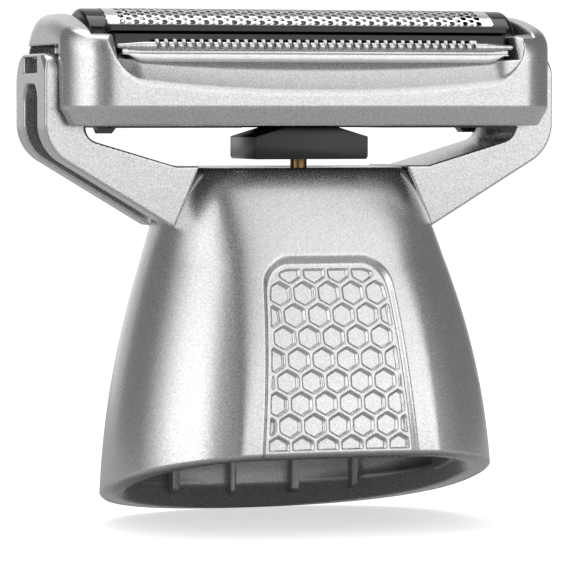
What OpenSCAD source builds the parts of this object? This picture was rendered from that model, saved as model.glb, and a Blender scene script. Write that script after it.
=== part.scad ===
// Foil shaver head on a two-armed yoke, made to clip on a hand-held groomer.
// Millimetres. +Z runs up the drive spindle, X runs along the foil, the front faces -Y.
// The origin is on the ground plane under the middle of the handle rim.

/* [Handle socket housing] */
// Width of the handle rim, left to right
rim_w = 40.4; // [34:0.1:48.5]
// Depth of the handle rim, front to back
rim_d = 32.1; // [27:0.1:38.6]
// Slope of the rim plane, higher at the front
rim_slope = 14.8; // [10:0.1:17.8]
// Height of the flat deck above the back of the rim
deck_z = 36.95; // [31:0.05:44.4]
// Width of the deck, left to right
deck_w = 24; // [22:0.1:28.8]
// How far the deck reaches in front of the middle
deck_front = 4.6; // [3.8:0.1:5.5]
// How far the deck reaches behind the middle
deck_back = 9.6; // [9.4:0.1:11.5]
// Thickness of the housing wall
wall = 1.8; // [1.5:0.05:2.2]
// Thickness of the deck
deck_t = 2.6; // [2.2:0.1:3.2]

/* [Grip recess] */
// Width of the recess at the rim
recess_w = 16.4; // [13.7:0.1:19.7]
// Height of the recess top below the deck
recess_drop = 8.6; // [7.2:0.1:10.3]
// Depth of the recess
recess_t = 0.7; // [0.5:0.05:0.85]

/* [Yoke] */
// Width over the two arms
yoke_w = 54.5; // [50:0.1:65.4]
// Depth of each arm, front to back
arm_d = 12.4; // [10.4:0.1:14.9]
// Thickness of an arm beside the head
arm_t = 4.2; // [3.5:0.1:5]
// Outside radius of the elbow
elbow_r = 4.5; // [3.8:0.1:5.4]
// Height of the elbow's centre above the deck
elbow_rise = 4.3; // [3.6:0.05:5.2]
// Width of the channel in the arm's outer face
channel_w = 5.5; // [4.6:0.1:6.6]
// Depth of the channel
channel_t = 1.6; // [1.3:0.05:1.9]
// Diameter of the pivot pins
pin_d = 1.6; // [1.35:0.05:1.9]

/* [Shaving head] */
// Height of the pivot axis above the deck
pivot_rise = 10.4; // [10.2:0.05:12.4]
// Depth of the head, front to back
head_d = 20.6; // [20.2:0.1:24.7]
// Height of the head cover
head_h = 11.5; // [11.3:0.1:13.8]
// Distance from the head's underside up to the pivot axis
pivot_drop = 6.3; // [6.2:0.05:7.5]
// Wall of the head cover
cover_t = 1.5; // [1.25:0.05:1.8]
// Outside radius of the foil arch
foil_r = 6.2; // [5.2:0.05:6.4]
// Thickness of the foil
foil_t = 0.15; // [0.1:0.01:0.18]
// Length of the foil
foil_l = 40; // [34:0.1:41]

/* [Cutters] */
// Number of blades in the cutter stack
blade_n = 24; // [20:1:28]
// Thickness of a cutter blade
blade_t = 0.35; // [0.3:0.01:0.42]
// Pitch of the trimmer teeth
tooth_pitch = 0.93; // [0.78:0.01:1.1]
// Width of a slot between two trimmer teeth
tooth_gap = 0.38; // [0.32:0.01:0.45]
// Number of slots in the trimmer comb
tooth_n = 37; // [31:1:37]

/* [Drive] */
// Diameter of the spindle
spindle_d = 1.7; // [1.4:0.05:2]
// Diameter of the lever's axle
axle_d = 2; // [1.7:0.05:2.4]
// Swing of the lever each way
swing = 3; // [2.5:0.1:3.6]
// Height of the axle above the ground plane
axle_z = 24; // [22:0.1:25]
// Gap of the fork that takes the handle's drive pin
fork_gap = 3.2; // [2.7:0.1:3.8]
// Thickness of the lever, front to back
lever_t = 3; // [2.5:0.1:3.3]

/* [Clearances] */
// Radial clearance of a running fit
run = 0.03; // [0.02:0.01:0.08]
// Seam between two fixed pieces
seam = 0.05; // [0.04:0.01:0.08]
// Gap between pieces that move past each other
gap = 0.35; // [0.3:0.01:0.42]
// Tilt of the head each way
tilt = 6; // [4:0.1:6]

/* [Hidden] */
$fn = 48;

// Housing outline
ring_n = 44;
layers = 10;
outline_n = 2.4;
crease_low = 10.9;
crease_high = 6.5;
face_crown = 0.045;
face_out = 0.65;
rim_ring_end = 2.6;

// Places shared by the sub-assemblies
pivot_y = 3;
pivot_z = deck_z + pivot_rise;
drive_y = -1.25;
arm_in = yoke_w / 2 - arm_t;
arm_y0 = pivot_y - arm_d / 2;
arm_y1 = pivot_y + arm_d / 2;
arm_top = pivot_z + 1;

// Arm root, let into the side of the housing
root_x = deck_w / 2 - 2.05;
root_bottom = deck_z - 11.65;
root_lean = 0.425;
root_drop = 6.6;
root_screw_z = deck_z - 4.55;
root_screws = [pivot_y - 3.4, pivot_y + 3.4];
root_screw_grip = 2.7;
boss_in = root_x - 2.35;

// Self-tapping screws
screw_d = 1.8;
screw_fit = 0.2;
screw_head_d = 3.2;
screw_head_t = 1.4;
socket_d = 1.1;
socket_t = 0.8;

// Arm above the root
arm_shoulder_x = root_x + 3.65;
arm_shoulder_rise = elbow_rise - 1.5;
arm_back_r = 3.2;
arm_front_r = 1;
channel_drop = 3.1;
inlay_t = 0.5;
pocket_low = 0.95;
pocket_h = 1.6;

// Head
head_y = 1.1;
head_y0 = head_y - head_d / 2;
head_y1 = head_y + head_d / 2;
head_w = yoke_w - 2.5;
head_z0 = pivot_z - pivot_drop;
head_z1 = head_z0 + head_h;
notch_x = arm_in - 0.25;
notch_top = arm_top + 0.85;
cave_x = notch_x - cover_t;
cover_corner_r = 3.6;
cover_end_r = 1.2;
cover_back_r = 6.4;
cover_ridge = 8.55;
cover_chamfer = 1.6;
band_h = 1.8;
band_in = 1;
frame_t = 1.2;
frame_z0 = head_z0 - 0.2;
frame_rim = 2.4;
ear_t = 1;
ear_half = 3.2;
ear_rise = 1.7;
foot_x = cave_x + 0.3;
foot_w = 1.9;
foot_h = 0.65;
foot_l = 1.6;
foot_front = 7.6;
foot_back = 4.3;

// Foil and cutters
foil_y = 1;
foil_z = head_z1 + 0.45 - foil_r;
blade_gap = 0.1;
blade_r = foil_r - foil_t - blade_gap;
spine_r = blade_r - 1.6;
spine_z0 = foil_z - 2.4;
carrier_l = foil_l - 4.8;
foil_skirt = 0.5;
rail_t = 0.95;
rail_low = 0.6;
rail_high = 3.1;
cave_y0 = foil_y - foil_r - rail_t - 0.1;
cave_y1 = head_y1 - cover_t;
cap_x = cave_x + 1.8;
cap_t = 0.2;
cap_y0 = foil_y - foil_r - cap_t - 0.3;
cap_y1 = foil_y + foil_r + cap_t + 0.3;
cap_z0 = notch_top + 0.7;
tip_r = 1.5;
tip_z = pivot_z - 1.45;
lever_len = tip_z - axle_z;
stroke = lever_len * sin(swing);

// Trimmer on its shelf
shelf_z = head_z0 + 6.75;
shelf_in = 1.35;
scoop_r = 4.4;
scoop_angle = 46;
ledge_h = 0.5;
comb_l = 2 * cave_x - 0.4;
comb_y = head_y0 + 1;
comb_t = 1.1;
comb_z = shelf_z + ledge_h;
comb_h = 1.45;
comb_root = 0.5;
trim_t = 0.4;
trim_gap = 0.06;
leaf_t = 0.2;
leaf_h = 0.9;

silver = [0.76, 0.77, 0.78];
black = [0.09, 0.09, 0.1];
steel = [0.82, 0.83, 0.85];

// Points of an arc, from angle a0 to a1
function arc(cx, cy, r, a0, a1, n = 8) =
    [for (i = [0:n]) let (a = a0 + (a1 - a0) * i / n) [cx + r * cos(a), cy + r * sin(a)]];

// Shape of the housing at height z, as half width, front and back
function part_up(z) = min(1, max(0, z) / deck_z);
function side_at(z) = deck_w / 2 + (rim_w - deck_w) / 2 * (1 - pow(part_up(z), 2));
function front_at(z) =
    -deck_front - (rim_d / 2 + face_out - deck_front) * (1 - pow(part_up(z), 2.5));
function back_at(z) = deck_back + (rim_d / 2 - deck_back) * (1 - pow(part_up(z), 2));
function bulge(v) = sign(v) * pow(abs(v), 2 / outline_n);

// Flat front face between two creases that close in towards the deck
function crease_at(z) = crease_low - (crease_low - crease_high) * pow(part_up(z), 1.3);
function face_at(x, z) =
    let (a = side_at(z), y0 = front_at(z), y1 = back_at(z), q = crease_at(z))
    (y0 + y1) / 2 - (y1 - y0) / 2 * pow(1 - pow(q / a, outline_n), 1 / outline_n)
        - face_crown * q * (1 - pow(x / q, 2));

// One closed ring of the housing, set in by t from the outside
function ring(z, t, t_end) =
    let (a = side_at(z) - t_end,
         y0 = front_at(z) + t,
         y1 = back_at(z) - t)
    [for (i = [0:ring_n - 1])
        let (w = 360 * i / ring_n, x = a * bulge(cos(w)),
             y = (y0 + y1) / 2 + (y1 - y0) / 2 * bulge(sin(w)))
        [x, y < 0 ? max(y, face_at(x, z) + t) : y, z]];

// A closed solid through a stack of rings
module loft(rings) {
    n = len(rings[0]);
    m = len(rings);
    sides = [for (j = [0:m - 2], i = [0:n - 1]) let (k = (i + 1) % n)
        each [[j * n + i, (j + 1) * n + i, (j + 1) * n + k],
              [j * n + i, (j + 1) * n + k, j * n + k]]];
    floor_face = [for (i = [0:n - 1]) i];
    roof_face = [for (i = [n - 1:-1:0]) (m - 1) * n + i];
    polyhedron([for (r = rings) each r], concat(sides, [floor_face, roof_face]));
}

module housing_outside() {
    loft([for (j = [0:layers]) ring(-1 + (deck_z + 1) * j / layers, 0, 0)]);
}

module housing_inside() {
    top = deck_z - deck_t;
    loft([for (j = [0:layers]) let (z = -2 + (top + 2) * j / layers)
        ring(z, wall, wall + (rim_ring_end - wall) * (1 - part_up(z)))]);
}

// Everything below the slanted rim plane
module below_rim() {
    translate([0, rim_d / 2, 0])
        rotate([-rim_slope, 0, 0])
            translate([-rim_w, -3 * rim_d, -rim_d])
                cube([2 * rim_w, 4 * rim_d, rim_d]);
}

// Extrudes an outline drawn in X and Z from y0 to y1
module along_y(y0, y1) {
    translate([0, y1, 0]) rotate([90, 0, 0]) linear_extrude(y1 - y0) children();
}

// Extrudes an outline drawn in Y and Z from x0 to x1
module along_x(x0, x1) {
    translate([x0, 0, 0]) rotate([90, 0, 90]) linear_extrude(x1 - x0) children();
}

// A round bar along X
module bar_x(x0, x1, y, z, d) {
    translate([x0, y, z]) rotate([0, 90, 0]) cylinder(d = d, h = x1 - x0);
}

// A round bar along Y
module bar_y(y0, y1, x, z, d) {
    translate([x, y0, z]) rotate([-90, 0, 0]) cylinder(d = d, h = y1 - y0);
}

// Mirrors its children to the left or leaves them on the right
module side(s) {
    mirror([s < 0 ? 1 : 0, 0, 0]) children();
}

// ---- Yoke ----

// Offset line of the arm's outer face, at depth t inside it, from height top down to x_end
elbow_cx = yoke_w / 2 - elbow_r;
junction_x = root_x + root_lean * root_drop + 0.55;
junction_z = deck_z - root_drop;
elbow_cz = deck_z + elbow_rise;
arm_rise = atan2(elbow_cz - junction_z, elbow_cx - junction_x)
    - asin(elbow_r / norm([elbow_cx - junction_x, elbow_cz - junction_z]));
function under_z(x, t) =
    junction_z + (x - junction_x) * tan(arm_rise) + t / cos(arm_rise);
function arm_line(t, top, x_end) = concat(
    [[yoke_w / 2 - t, top]],
    arc(elbow_cx, elbow_cz, elbow_r - t, 0, arm_rise - 90),
    [[x_end, under_z(x_end, t)]]);

function reversed(v) = [for (i = [len(v) - 1:-1:0]) v[i]];

// Inner line of the arm root, from the deck down, and where the arm's underside meets it
function root_line_x(z) = root_x + root_lean * (deck_z - z);
root_end_x = (root_line_x(junction_z) + root_lean * junction_x * tan(arm_rise))
    / (1 + root_lean * tan(arm_rise));

module root_prism(grow) {
    low = root_bottom - grow;
    along_y(arm_y0 - grow, arm_y1 + grow)
        polygon([[root_line_x(deck_z) - grow, deck_z + grow], [rim_w, deck_z + grow],
                 [rim_w, low], [root_line_x(root_bottom) - grow, low]]);
}

module arm_outline() {
    polygon(concat(
        arm_line(0, arm_top, root_end_x),
        [[root_x, deck_z], [arm_shoulder_x, deck_z],
         [arm_in, deck_z + arm_shoulder_rise], [arm_in, arm_top]]));
}

module arm_channel(t0, t1, side_gap, top) {
    w = channel_w / 2 - side_gap;
    x_end = side_at(junction_z) + 0.5 + side_gap;
    along_y(pivot_y - w, pivot_y + w)
        polygon(concat(arm_line(t0, top, x_end), reversed(arm_line(t1, top, x_end))));
}

// Rounds the top of the arm, seen from the side
module arm_top_trim() {
    low = root_bottom;
    back_r = arm_back_r;
    front_r = arm_front_r;
    along_x(arm_in - 1, yoke_w / 2 + 1)
        polygon(concat(
            [[arm_y0, low], [arm_y1, low]],
            arc(arm_y1 - back_r, arm_top - back_r, back_r, 0, 90),
            arc(arm_y0 + front_r, arm_top - front_r, front_r, 90, 180, 4)));
}

module arm(s) {
    color(silver) side(s) difference() {
        union() {
            intersection() {
                along_y(arm_y0, arm_y1) arm_outline();
                union() {
                    arm_top_trim();
                    translate([0, arm_y0 - 1, 0]) cube([arm_in - 0.9, arm_d + 2, arm_top]);
                }
            }
            intersection() {
                housing_outside();
                root_prism(0);
            }
        }
        arm_channel(-1, channel_t, 0, arm_top - channel_drop);
        translate([yoke_w / 2 - channel_t, pivot_y - channel_w / 2, pivot_z - pocket_low])
            cube([channel_t + 1, channel_w, pocket_h]);
        bar_x(arm_in - 1, yoke_w / 2, pivot_y, pivot_z, pin_d);
        for (y = root_screws)
            bar_x(0, root_screw_x1, y, root_screw_z, screw_d);
    }
}
root_screw_x1 = root_line_x(root_screw_z) + root_screw_grip;

module arm_inlay(s) {
    color([0.23, 0.24, 0.25]) side(s)
        arm_channel(channel_t - inlay_t, channel_t, seam, arm_top - channel_drop - seam);
}

module arm_screws() {
    color(steel) for (s = [-1, 1], y = root_screws) side(s) {
        bar_x(boss_in, root_screw_x1, y, root_screw_z, screw_d);
        difference() {
            bar_x(boss_in - screw_head_t, boss_in, y, root_screw_z, screw_head_d);
            bar_x(boss_in - screw_head_t - 1, boss_in - screw_head_t + socket_t,
                  y, root_screw_z, socket_d);
        }
    }
}

pin_proud = 0.5;
module pivot_pin(s) {
    color(steel) side(s)
        bar_x(cave_x - ear_t, yoke_w / 2 - channel_t + pin_proud, pivot_y, pivot_z, pin_d);
}

// ---- Housing and drive ----

lever_gap = 0.1;
chassis_y0 = drive_y - lever_t / 2 - lever_gap;
chassis_y1 = drive_y + lever_t / 2 + lever_gap;
cheek_t = 1.3;
cheek_w = 3.4;
plate_top = deck_z - deck_t - seam;
plate_t = 1.5;
plate_w = 2 * boss_in - 2 * screw_head_t - 0.8;
plate_back = drive_y + 9.2;
chassis_screw_y = drive_y + 7.3;
chassis_screw_x = 2.6;
seal_d = 6.2;
chassis_screw_l = 1.9;
slot_r = spindle_d / 2 + (deck_z - axle_z) * sin(swing) + gap;
seal_lip = 0.3;
seal_low = 0.4;

module base_housing() {
    color(silver) difference() {
        housing_outside();
        difference() {
            housing_inside();
            for (s = [-1, 1]) side(s)
                translate([boss_in, arm_y0 - 2, root_bottom - 1.5])
                    cube([rim_w, arm_d + 4, deck_z]);
        }
        below_rim();
        for (s = [-1, 1]) side(s) {
            root_prism(seam);
            for (y = root_screws) {
                bar_x(0, root_screw_x1, y, root_screw_z, screw_d + screw_fit);
                bar_x(0, boss_in, y, root_screw_z, screw_head_d + 2 * screw_fit);
            }
        }
        translate([-plate_w / 2 - seam, chassis_y0 - cheek_t - seam, plate_top - plate_t - 1])
            cube([plate_w + 2 * seam, plate_back - chassis_y0 + cheek_t + 2 * seam, plate_t + 1]);
        translate([0, drive_y, deck_z - deck_t - 1]) cylinder(d = seal_d, h = deck_t + 2);
        for (x = [-chassis_screw_x, chassis_screw_x])
            translate([x, chassis_screw_y, plate_top - 1])
                cylinder(d = screw_d, h = 1 + seam + chassis_screw_l);
        grip_recess();
    }
}

// Shallow grip panel in the front face, open to the rim
recess_lean = 0.9;
recess_r = 3;
module grip_recess() {
    r = recess_r;
    top = deck_z - recess_drop;
    intersection() {
        difference() {
            housing_outside();
            loft([for (j = [0:layers])
                ring(-1 + (deck_z + 1) * j / layers, recess_t, recess_t)]);
        }
        along_y(-rim_d, front_at(deck_z))
            polygon(concat(
                [[-recess_w / 2, -1], [recess_w / 2, -1]],
                arc(recess_w / 2 - recess_lean - r, top - r, r, 15, 90),
                arc(recess_lean + r - recess_w / 2, top - r, r, 90, 165)));
    }
}

module drive_chassis() {
    color(black) difference() {
        union() {
            translate([-plate_w / 2, chassis_y0 - cheek_t, plate_top - plate_t])
                cube([plate_w, plate_back - chassis_y0 + cheek_t, plate_t]);
            for (y = [chassis_y0 - cheek_t, chassis_y1])
                along_y(y, y + cheek_t) union() {
                    translate([-cheek_w, axle_z]) square([2 * cheek_w, plate_top - axle_z - 1]);
                    translate([0, axle_z]) circle(r = cheek_w);
                }
        }
        translate([0, drive_y, plate_top - plate_t - 1])
            cylinder(d = 2 * (chassis_y1 - drive_y) - lever_gap, h = plate_t + 2);
        translate([-slot_r - gap, chassis_y0, plate_top - plate_t - 1])
            cube([2 * slot_r + 2 * gap, chassis_y1 - chassis_y0, plate_t + 2]);
        bar_y(chassis_y0 - 5, chassis_y1 + 5, 0, axle_z, axle_d);
        for (x = [-chassis_screw_x, chassis_screw_x])
            translate([x, chassis_screw_y, plate_top - 5])
                cylinder(d = screw_d + screw_fit, h = 6);
    }
}

module chassis_screws() {
    color(steel) for (x = [-chassis_screw_x, chassis_screw_x])
        translate([x, chassis_screw_y, plate_top - plate_t]) {
            cylinder(d = screw_d, h = plate_t + seam + chassis_screw_l - 0.1);
            translate([0, 0, -screw_head_t]) difference() {
                cylinder(d = screw_head_d, h = screw_head_t);
                translate([0, 0, -1]) cylinder(d = socket_d, h = 1 + socket_t);
            }
        }
}

module lever_axle() {
    color(steel) bar_y(chassis_y0 - cheek_t, chassis_y1 + cheek_t, 0, axle_z, axle_d);
}

// Rubber ring that keeps hair out, with a slot for the swinging spindle
module spindle_seal() {
    color([0.16, 0.16, 0.17]) translate([0, drive_y, deck_z - deck_t]) difference() {
        cylinder(d = seal_d - seam, h = deck_t - seal_low);
        half = slot_r - spindle_d / 2 - seal_lip;
        slot_w = spindle_d + 2 * seal_lip;
        for (x = [-half, half])
            translate([x, 0, -1]) cylinder(d = slot_w, h = deck_t + 2);
        translate([-half, -slot_w / 2, -1]) cube([2 * half, slot_w, deck_t + 2]);
    }
}

lever_top = plate_top - plate_t - 0.5;
fork_z = axle_z - 12;
fork_depth = 7.5;
prong_t = 1.5;
hub_t = 2;
neck_half = 1.9;
module drive_lever() {
    color([0.14, 0.14, 0.15]) difference() {
        along_y(drive_y - lever_t / 2, drive_y + lever_t / 2) difference() {
            union() {
                translate([0, axle_z]) circle(d = axle_d + 2 * hub_t);
                translate([-neck_half, axle_z]) square([2 * neck_half, lever_top - axle_z]);
                translate([-fork_gap / 2 - prong_t, fork_z])
                    square([fork_gap + 2 * prong_t, axle_z - fork_z]);
            }
            translate([-fork_gap / 2, fork_z - 1]) square([fork_gap, fork_depth + 1]);
        }
        bar_y(drive_y - lever_t, drive_y + lever_t, 0, axle_z, axle_d + 2 * run);
        translate([0, drive_y, spindle_z0]) cylinder(d = spindle_d, h = lever_top);
    }
}

spindle_z0 = axle_z + 3;
spindle_z1 = deck_z + 5;
module drive_spindle() {
    color([0.72, 0.58, 0.32]) translate([0, drive_y, spindle_z0])
        cylinder(d = spindle_d, h = spindle_z1 - spindle_z0);
}

block_z = deck_z + 0.7;
block_w = 12;
neck_w = 5.4;
block_y0 = drive_y - 4.55;
block_y1 = drive_y + 4.35;
block_lip = 0.3;
block_side = 2.3;
block_h = 3.3;
stem_half = tip_r - 0.25;
stem_z = tip_z - 2.4;
module drive_block() {
    color(black) difference() {
        union() {
            along_y(block_y0, block_y1) polygon([
                [-block_w / 2 + block_lip / 2, block_z], [block_w / 2 - block_lip / 2, block_z],
                [block_w / 2, block_z + block_lip], [block_w / 2, block_z + block_side],
                [neck_w / 2, block_z + block_h], [-neck_w / 2, block_z + block_h],
                [-block_w / 2, block_z + block_side], [-block_w / 2, block_z + block_lip]]);
            along_y(drive_y - tip_r, drive_y + tip_r) polygon([
                [-neck_w / 2, block_z + block_h - 0.3], [neck_w / 2, block_z + block_h - 0.3],
                [stem_half, stem_z], [stem_half, tip_z],
                [-stem_half, tip_z], [-stem_half, stem_z]]);
            bar_y(drive_y - tip_r, drive_y + tip_r, 0, tip_z, 2 * tip_r);
        }
        translate([0, drive_y, block_z - 1]) cylinder(d = spindle_d, h = spindle_z1 - block_z + 1);
    }
}

// ---- Head ----

module cover_side_outline() {
    r = cover_back_r;
    // the top rises from a ridge at the front along one flat arc
    run_y = head_y1 - r - head_y0;
    drop = head_h - cover_ridge;
    top_r = (run_y * run_y + drop * drop) / (2 * drop);
    polygon(concat(
        [[head_y0 + band_in, head_z0], [head_y1 - band_in, head_z0], [head_y1, head_z0 + band_h]],
        arc(head_y1 - r, head_z1 - r, r, 0, 90),
        arc(head_y1 - r, head_z1 - top_r, top_r, 91, 90 + asin(run_y / top_r)),
        [[head_y0, head_z0 + band_h]]));
}

module cover_front_outline() {
    r = cover_end_r;
    low = cover_chamfer;
    polygon(concat(
        [[low - head_w / 2, head_z0], [head_w / 2 - low, head_z0], [head_w / 2, head_z0 + low]],
        arc(head_w / 2 - r, head_z1 - r, r, 0, 90),
        arc(r - head_w / 2, head_z1 - r, r, 90, 180),
        [[-head_w / 2, head_z0 + low]]));
}

module cover_plan_outline() {
    r = cover_corner_r;
    x = head_w / 2 - r;
    polygon(concat(arc(x, head_y1 - r, r, 0, 90), arc(-x, head_y1 - r, r, 90, 180),
                   arc(-x, head_y0 + r, r, 180, 270), arc(x, head_y0 + r, r, 270, 360)));
}

window_x = cave_x - 0.1;
well_x = block_w / 2 + 1.6;
well_h = 2.3;
module head_cover() {
    color(silver) difference() {
        intersection() {
            along_x(-head_w / 2, head_w / 2) cover_side_outline();
            along_y(head_y0 - 1, head_y1 + 1) cover_front_outline();
            translate([0, 0, head_z0 - 1]) linear_extrude(head_h + 2) cover_plan_outline();
        }
        // inside of the head, open below
        translate([-cave_x, cave_y0, head_z0 - 1])
            cube([2 * cave_x, cave_y1 - cave_y0, head_h + 2]);
        // room for the foil frame's sloping end caps
        translate([-cap_x - gap, cap_y0, cap_z0 - 0.1])
            cube([2 * cap_x + 2 * gap, cap_y1 - cap_y0, head_h]);
        // concave front below the trimmer, and the window above its shelf
        along_x(-window_x, window_x) polygon(concat(
            arc(head_y0 + shelf_in - scoop_r, shelf_z - 1.2, scoop_r, -scoop_angle, 0),
            [[head_y0 + shelf_in, shelf_z], [cave_y0 + 1, shelf_z], [cave_y0 + 1, head_z1 + 1],
             [head_y0 + shelf_in - scoop_r, head_z1 + 1]]));
        for (s = [-1, 1]) side(s) arm_notch();
        // room for the driver block as the head tilts
        translate([-well_x, block_y0 - 1.4, head_z0 - 1])
            cube([2 * well_x, cave_y0 - block_y0 + 2.4, well_h + 1]);
    }
}

// Recess for an arm, wide enough below the pivot for the tilt
module arm_notch() {
    low = pivot_drop + 1;
    spread = arm_d / 2 + gap;
    along_x(notch_x, head_w) polygon([
        [pivot_y - spread, notch_top], [pivot_y + spread, notch_top],
        [pivot_y + spread, pivot_z], [pivot_y + spread + low * tan(tilt), pivot_z - low],
        [pivot_y - spread - low * tan(tilt), pivot_z - low], [pivot_y - spread, pivot_z]]);
    bar_x(0, head_w, pivot_y, pivot_z, pin_d + 2 * gap);
}

frame_x = cave_x - seam;
module head_frame() {
    color(black) difference() {
        union() {
            translate([-frame_x, cave_y0 + seam, frame_z0])
                cube([2 * frame_x, cave_y1 - cave_y0 - 2 * seam, frame_t]);
            for (s = [-1, 1]) side(s) {
                along_x(frame_x - ear_t, frame_x) polygon([
                    [cave_y0 + seam, frame_z0], [cave_y1 - seam, frame_z0],
                    [cave_y1 - seam, frame_z0 + frame_rim],
                    [pivot_y + ear_half, pivot_z + ear_rise],
                    [pivot_y - ear_half, pivot_z + ear_rise],
                    [cave_y0 + seam, frame_z0 + frame_rim]]);
                for (y = [pivot_y - foot_front, pivot_y + foot_back])
                    along_y(y - foot_l / 2, y + foot_l / 2) translate([foot_x, frame_z0])
                        polygon([
                            [0.3 - foot_w / 2, 0.1 - foot_h], [foot_w / 2 - 0.3, 0.1 - foot_h],
                            [foot_w / 2, 0.1], [-foot_w / 2 - 0.2, 0.1]]);
            }
        }
        translate([-well_x, block_y0 - 1, frame_z0 - 1])
            cube([2 * well_x, block_y1 - block_y0 + 2, frame_t + 2]);
        for (s = [-1, 1]) side(s)
            bar_x(0, head_w, pivot_y, pivot_z, pin_d + 2 * run);
    }
}
spring_x = 12;

// Black carrier of the foil: two rails and two sloping end caps
rail_in = 4.6;
module foil_frame() {
    color(black) difference() {
        union() {
            for (m = [0, 1]) translate([0, foil_y, 0]) mirror([0, m, 0])
                along_x(-foil_l / 2 - 0.1, foil_l / 2 + 0.1) polygon([
                    [-foil_r - rail_t, foil_z - rail_low], [-foil_r - rail_t, foil_z + rail_high],
                    [-rail_in - 0.15, foil_z + rail_high + 1.3],
                    [-rail_in, foil_z + rail_high + 1.2], [-rail_in, foil_z - rail_low]]);
            intersection() {
                union() {
                    bar_x(-cap_x, cap_x, foil_y, foil_z, 2 * foil_r + 2 * cap_t);
                    translate([-cap_x, foil_y - foil_r - cap_t, foil_z - 3])
                        cube([2 * cap_x, 2 * foil_r + 2 * cap_t, 3]);
                }
                for (s = [-1, 1]) side(s) along_y(-head_d, head_d) polygon([
                    [foil_l / 2 - 0.4, cap_z0], [cap_x, cap_z0], [cap_x, head_z1 - 1.4],
                    [foil_l / 2 + 0.4, head_z1 + 0.4], [foil_l / 2 - 0.4, head_z1 + 0.4]]);
            }
        }
        bar_x(-foil_l / 2 - 0.1, foil_l / 2 + 0.1, foil_y, foil_z, 2 * foil_r + 2 * seam);
        translate([-foil_l / 2 - 0.1, foil_y - foil_r - seam, foil_z - 2])
            cube([foil_l + 0.2, 2 * foil_r + 2 * seam, 2]);
    }
}

module foil_sheet() {
    color(steel) difference() {
        union() {
            bar_x(-foil_l / 2, foil_l / 2, foil_y, foil_z, 2 * foil_r);
            translate([-foil_l / 2, foil_y - foil_r, foil_z - foil_skirt])
                cube([foil_l, 2 * foil_r, foil_skirt]);
        }
        bar_x(-foil_l, foil_l, foil_y, foil_z, 2 * foil_r - 2 * foil_t);
        translate([-foil_l, foil_y - foil_r + foil_t, foil_z - foil_r])
            cube([2 * foil_l, 2 * foil_r - 2 * foil_t, foil_r]);
        translate([-foil_l, foil_y - head_d, foil_z - foil_skirt - head_d])
            cube([2 * foil_l, 2 * head_d, head_d]);
    }
}

// Slots between the trimmer's teeth
module tooth_slots(y0, depth, z0) {
    for (i = [0:tooth_n - 1])
        translate([(i - (tooth_n - 1) / 2) * tooth_pitch - tooth_gap / 2, y0, z0])
            cube([tooth_gap, depth, comb_h]);
}

// Fixed comb of the long-hair trimmer
module trimmer_comb() {
    color(steel) difference() {
        translate([-comb_l / 2, comb_y, comb_z]) cube([comb_l, comb_t, comb_h]);
        tooth_slots(comb_y - 1, comb_t + 2, comb_z + comb_root);
    }
}

// Rounded bar under the comb that stretches the skin
module trimmer_ledge() {
    color([0.5, 0.51, 0.53])
        translate([-comb_l / 2 + 0.4, comb_y + 0.1, shelf_z])
            cube([comb_l - 0.8, cave_y0 - comb_y - 0.15, ledge_h]);
}

trim_y = comb_y + comb_t + trim_gap;
trim_z = comb_z + seam;
trim_l = comb_l - 2 * stroke - 1.6;
module trimmer_blade() {
    color(steel) difference() {
        translate([-trim_l / 2, trim_y, trim_z]) cube([trim_l, trim_t, comb_h]);
        tooth_slots(trim_y - 1, trim_t + 2, trim_z + comb_root);
    }
}

// Leaf that presses the moving trimmer blade on the comb
module trimmer_spring() {
    color([0.6, 0.61, 0.63])
        translate([-trim_l / 2 + 1, trim_y + trim_t + trim_gap, trim_z])
            cube([trim_l - 2, leaf_t, leaf_h]);
}

module cutter_carrier() {
    slot_x = tip_r + run;
    slot_y = tip_r + 0.9;
    slot_top = tip_z + tip_r + 0.75;
    color([0.2, 0.2, 0.21]) difference() {
        union() {
            intersection() {
                bar_x(-carrier_l / 2, carrier_l / 2, foil_y, foil_z, 2 * spine_r);
                translate([-carrier_l, foil_y - spine_r, foil_z - 0.1])
                    cube([2 * carrier_l, 2 * spine_r, spine_r + 1]);
            }
            translate([-carrier_l / 2, foil_y - spine_r, spine_z0])
                cube([carrier_l, 2 * spine_r, foil_z - spine_z0]);
        }
        translate([-slot_x, drive_y - slot_y, spine_z0 - 1])
            cube([2 * slot_x, 2 * slot_y, slot_top - spine_z0 + 1]);
        for (x = [-spring_x, spring_x])
            translate([x, foil_y, spine_z0 - 1]) cylinder(d = spring_od + 0.4, h = 1 + spring_seat);
    }
}

blade_pitch = (carrier_l - 1.6) / (blade_n - 1);
module cutter_blades() {
    color(steel) for (i = [0:blade_n - 1]) {
        x = (i - (blade_n - 1) / 2) * blade_pitch;
        difference() {
            bar_x(x - blade_t / 2, x + blade_t / 2, foil_y, foil_z, 2 * blade_r);
            bar_x(x - 1, x + 1, foil_y, foil_z, 2 * spine_r + 2 * run);
            translate([x - 1, foil_y - blade_r - 1, foil_z - blade_r - 1])
                cube([2, 2 * blade_r + 2, blade_r + 1.3]);
        }
    }
}

// Two coil springs that lift the cutter against the foil
spring_od = 2.6;
spring_wire = 0.35;
spring_turns = 4;
spring_seat = 1.2;
module cutter_springs() {
    low = frame_z0 + frame_t + gap + spring_wire / 2;
    high = spine_z0 + spring_seat - seam - spring_wire / 2;
    steps = 12 * spring_turns;
    r = (spring_od - spring_wire) / 2;
    color([0.66, 0.67, 0.7]) for (x = [-spring_x, spring_x])
        translate([x, foil_y, 0])
            loft([for (j = [0:steps]) let (w = 360 * j / 12)
                [for (i = [0:5]) let (v = -60 * i, q = r + spring_wire / 2 * cos(v))
                    [q * cos(w), q * sin(w),
                     low + (high - low) * j / steps + spring_wire / 2 * sin(v)]]]);
}

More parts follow.
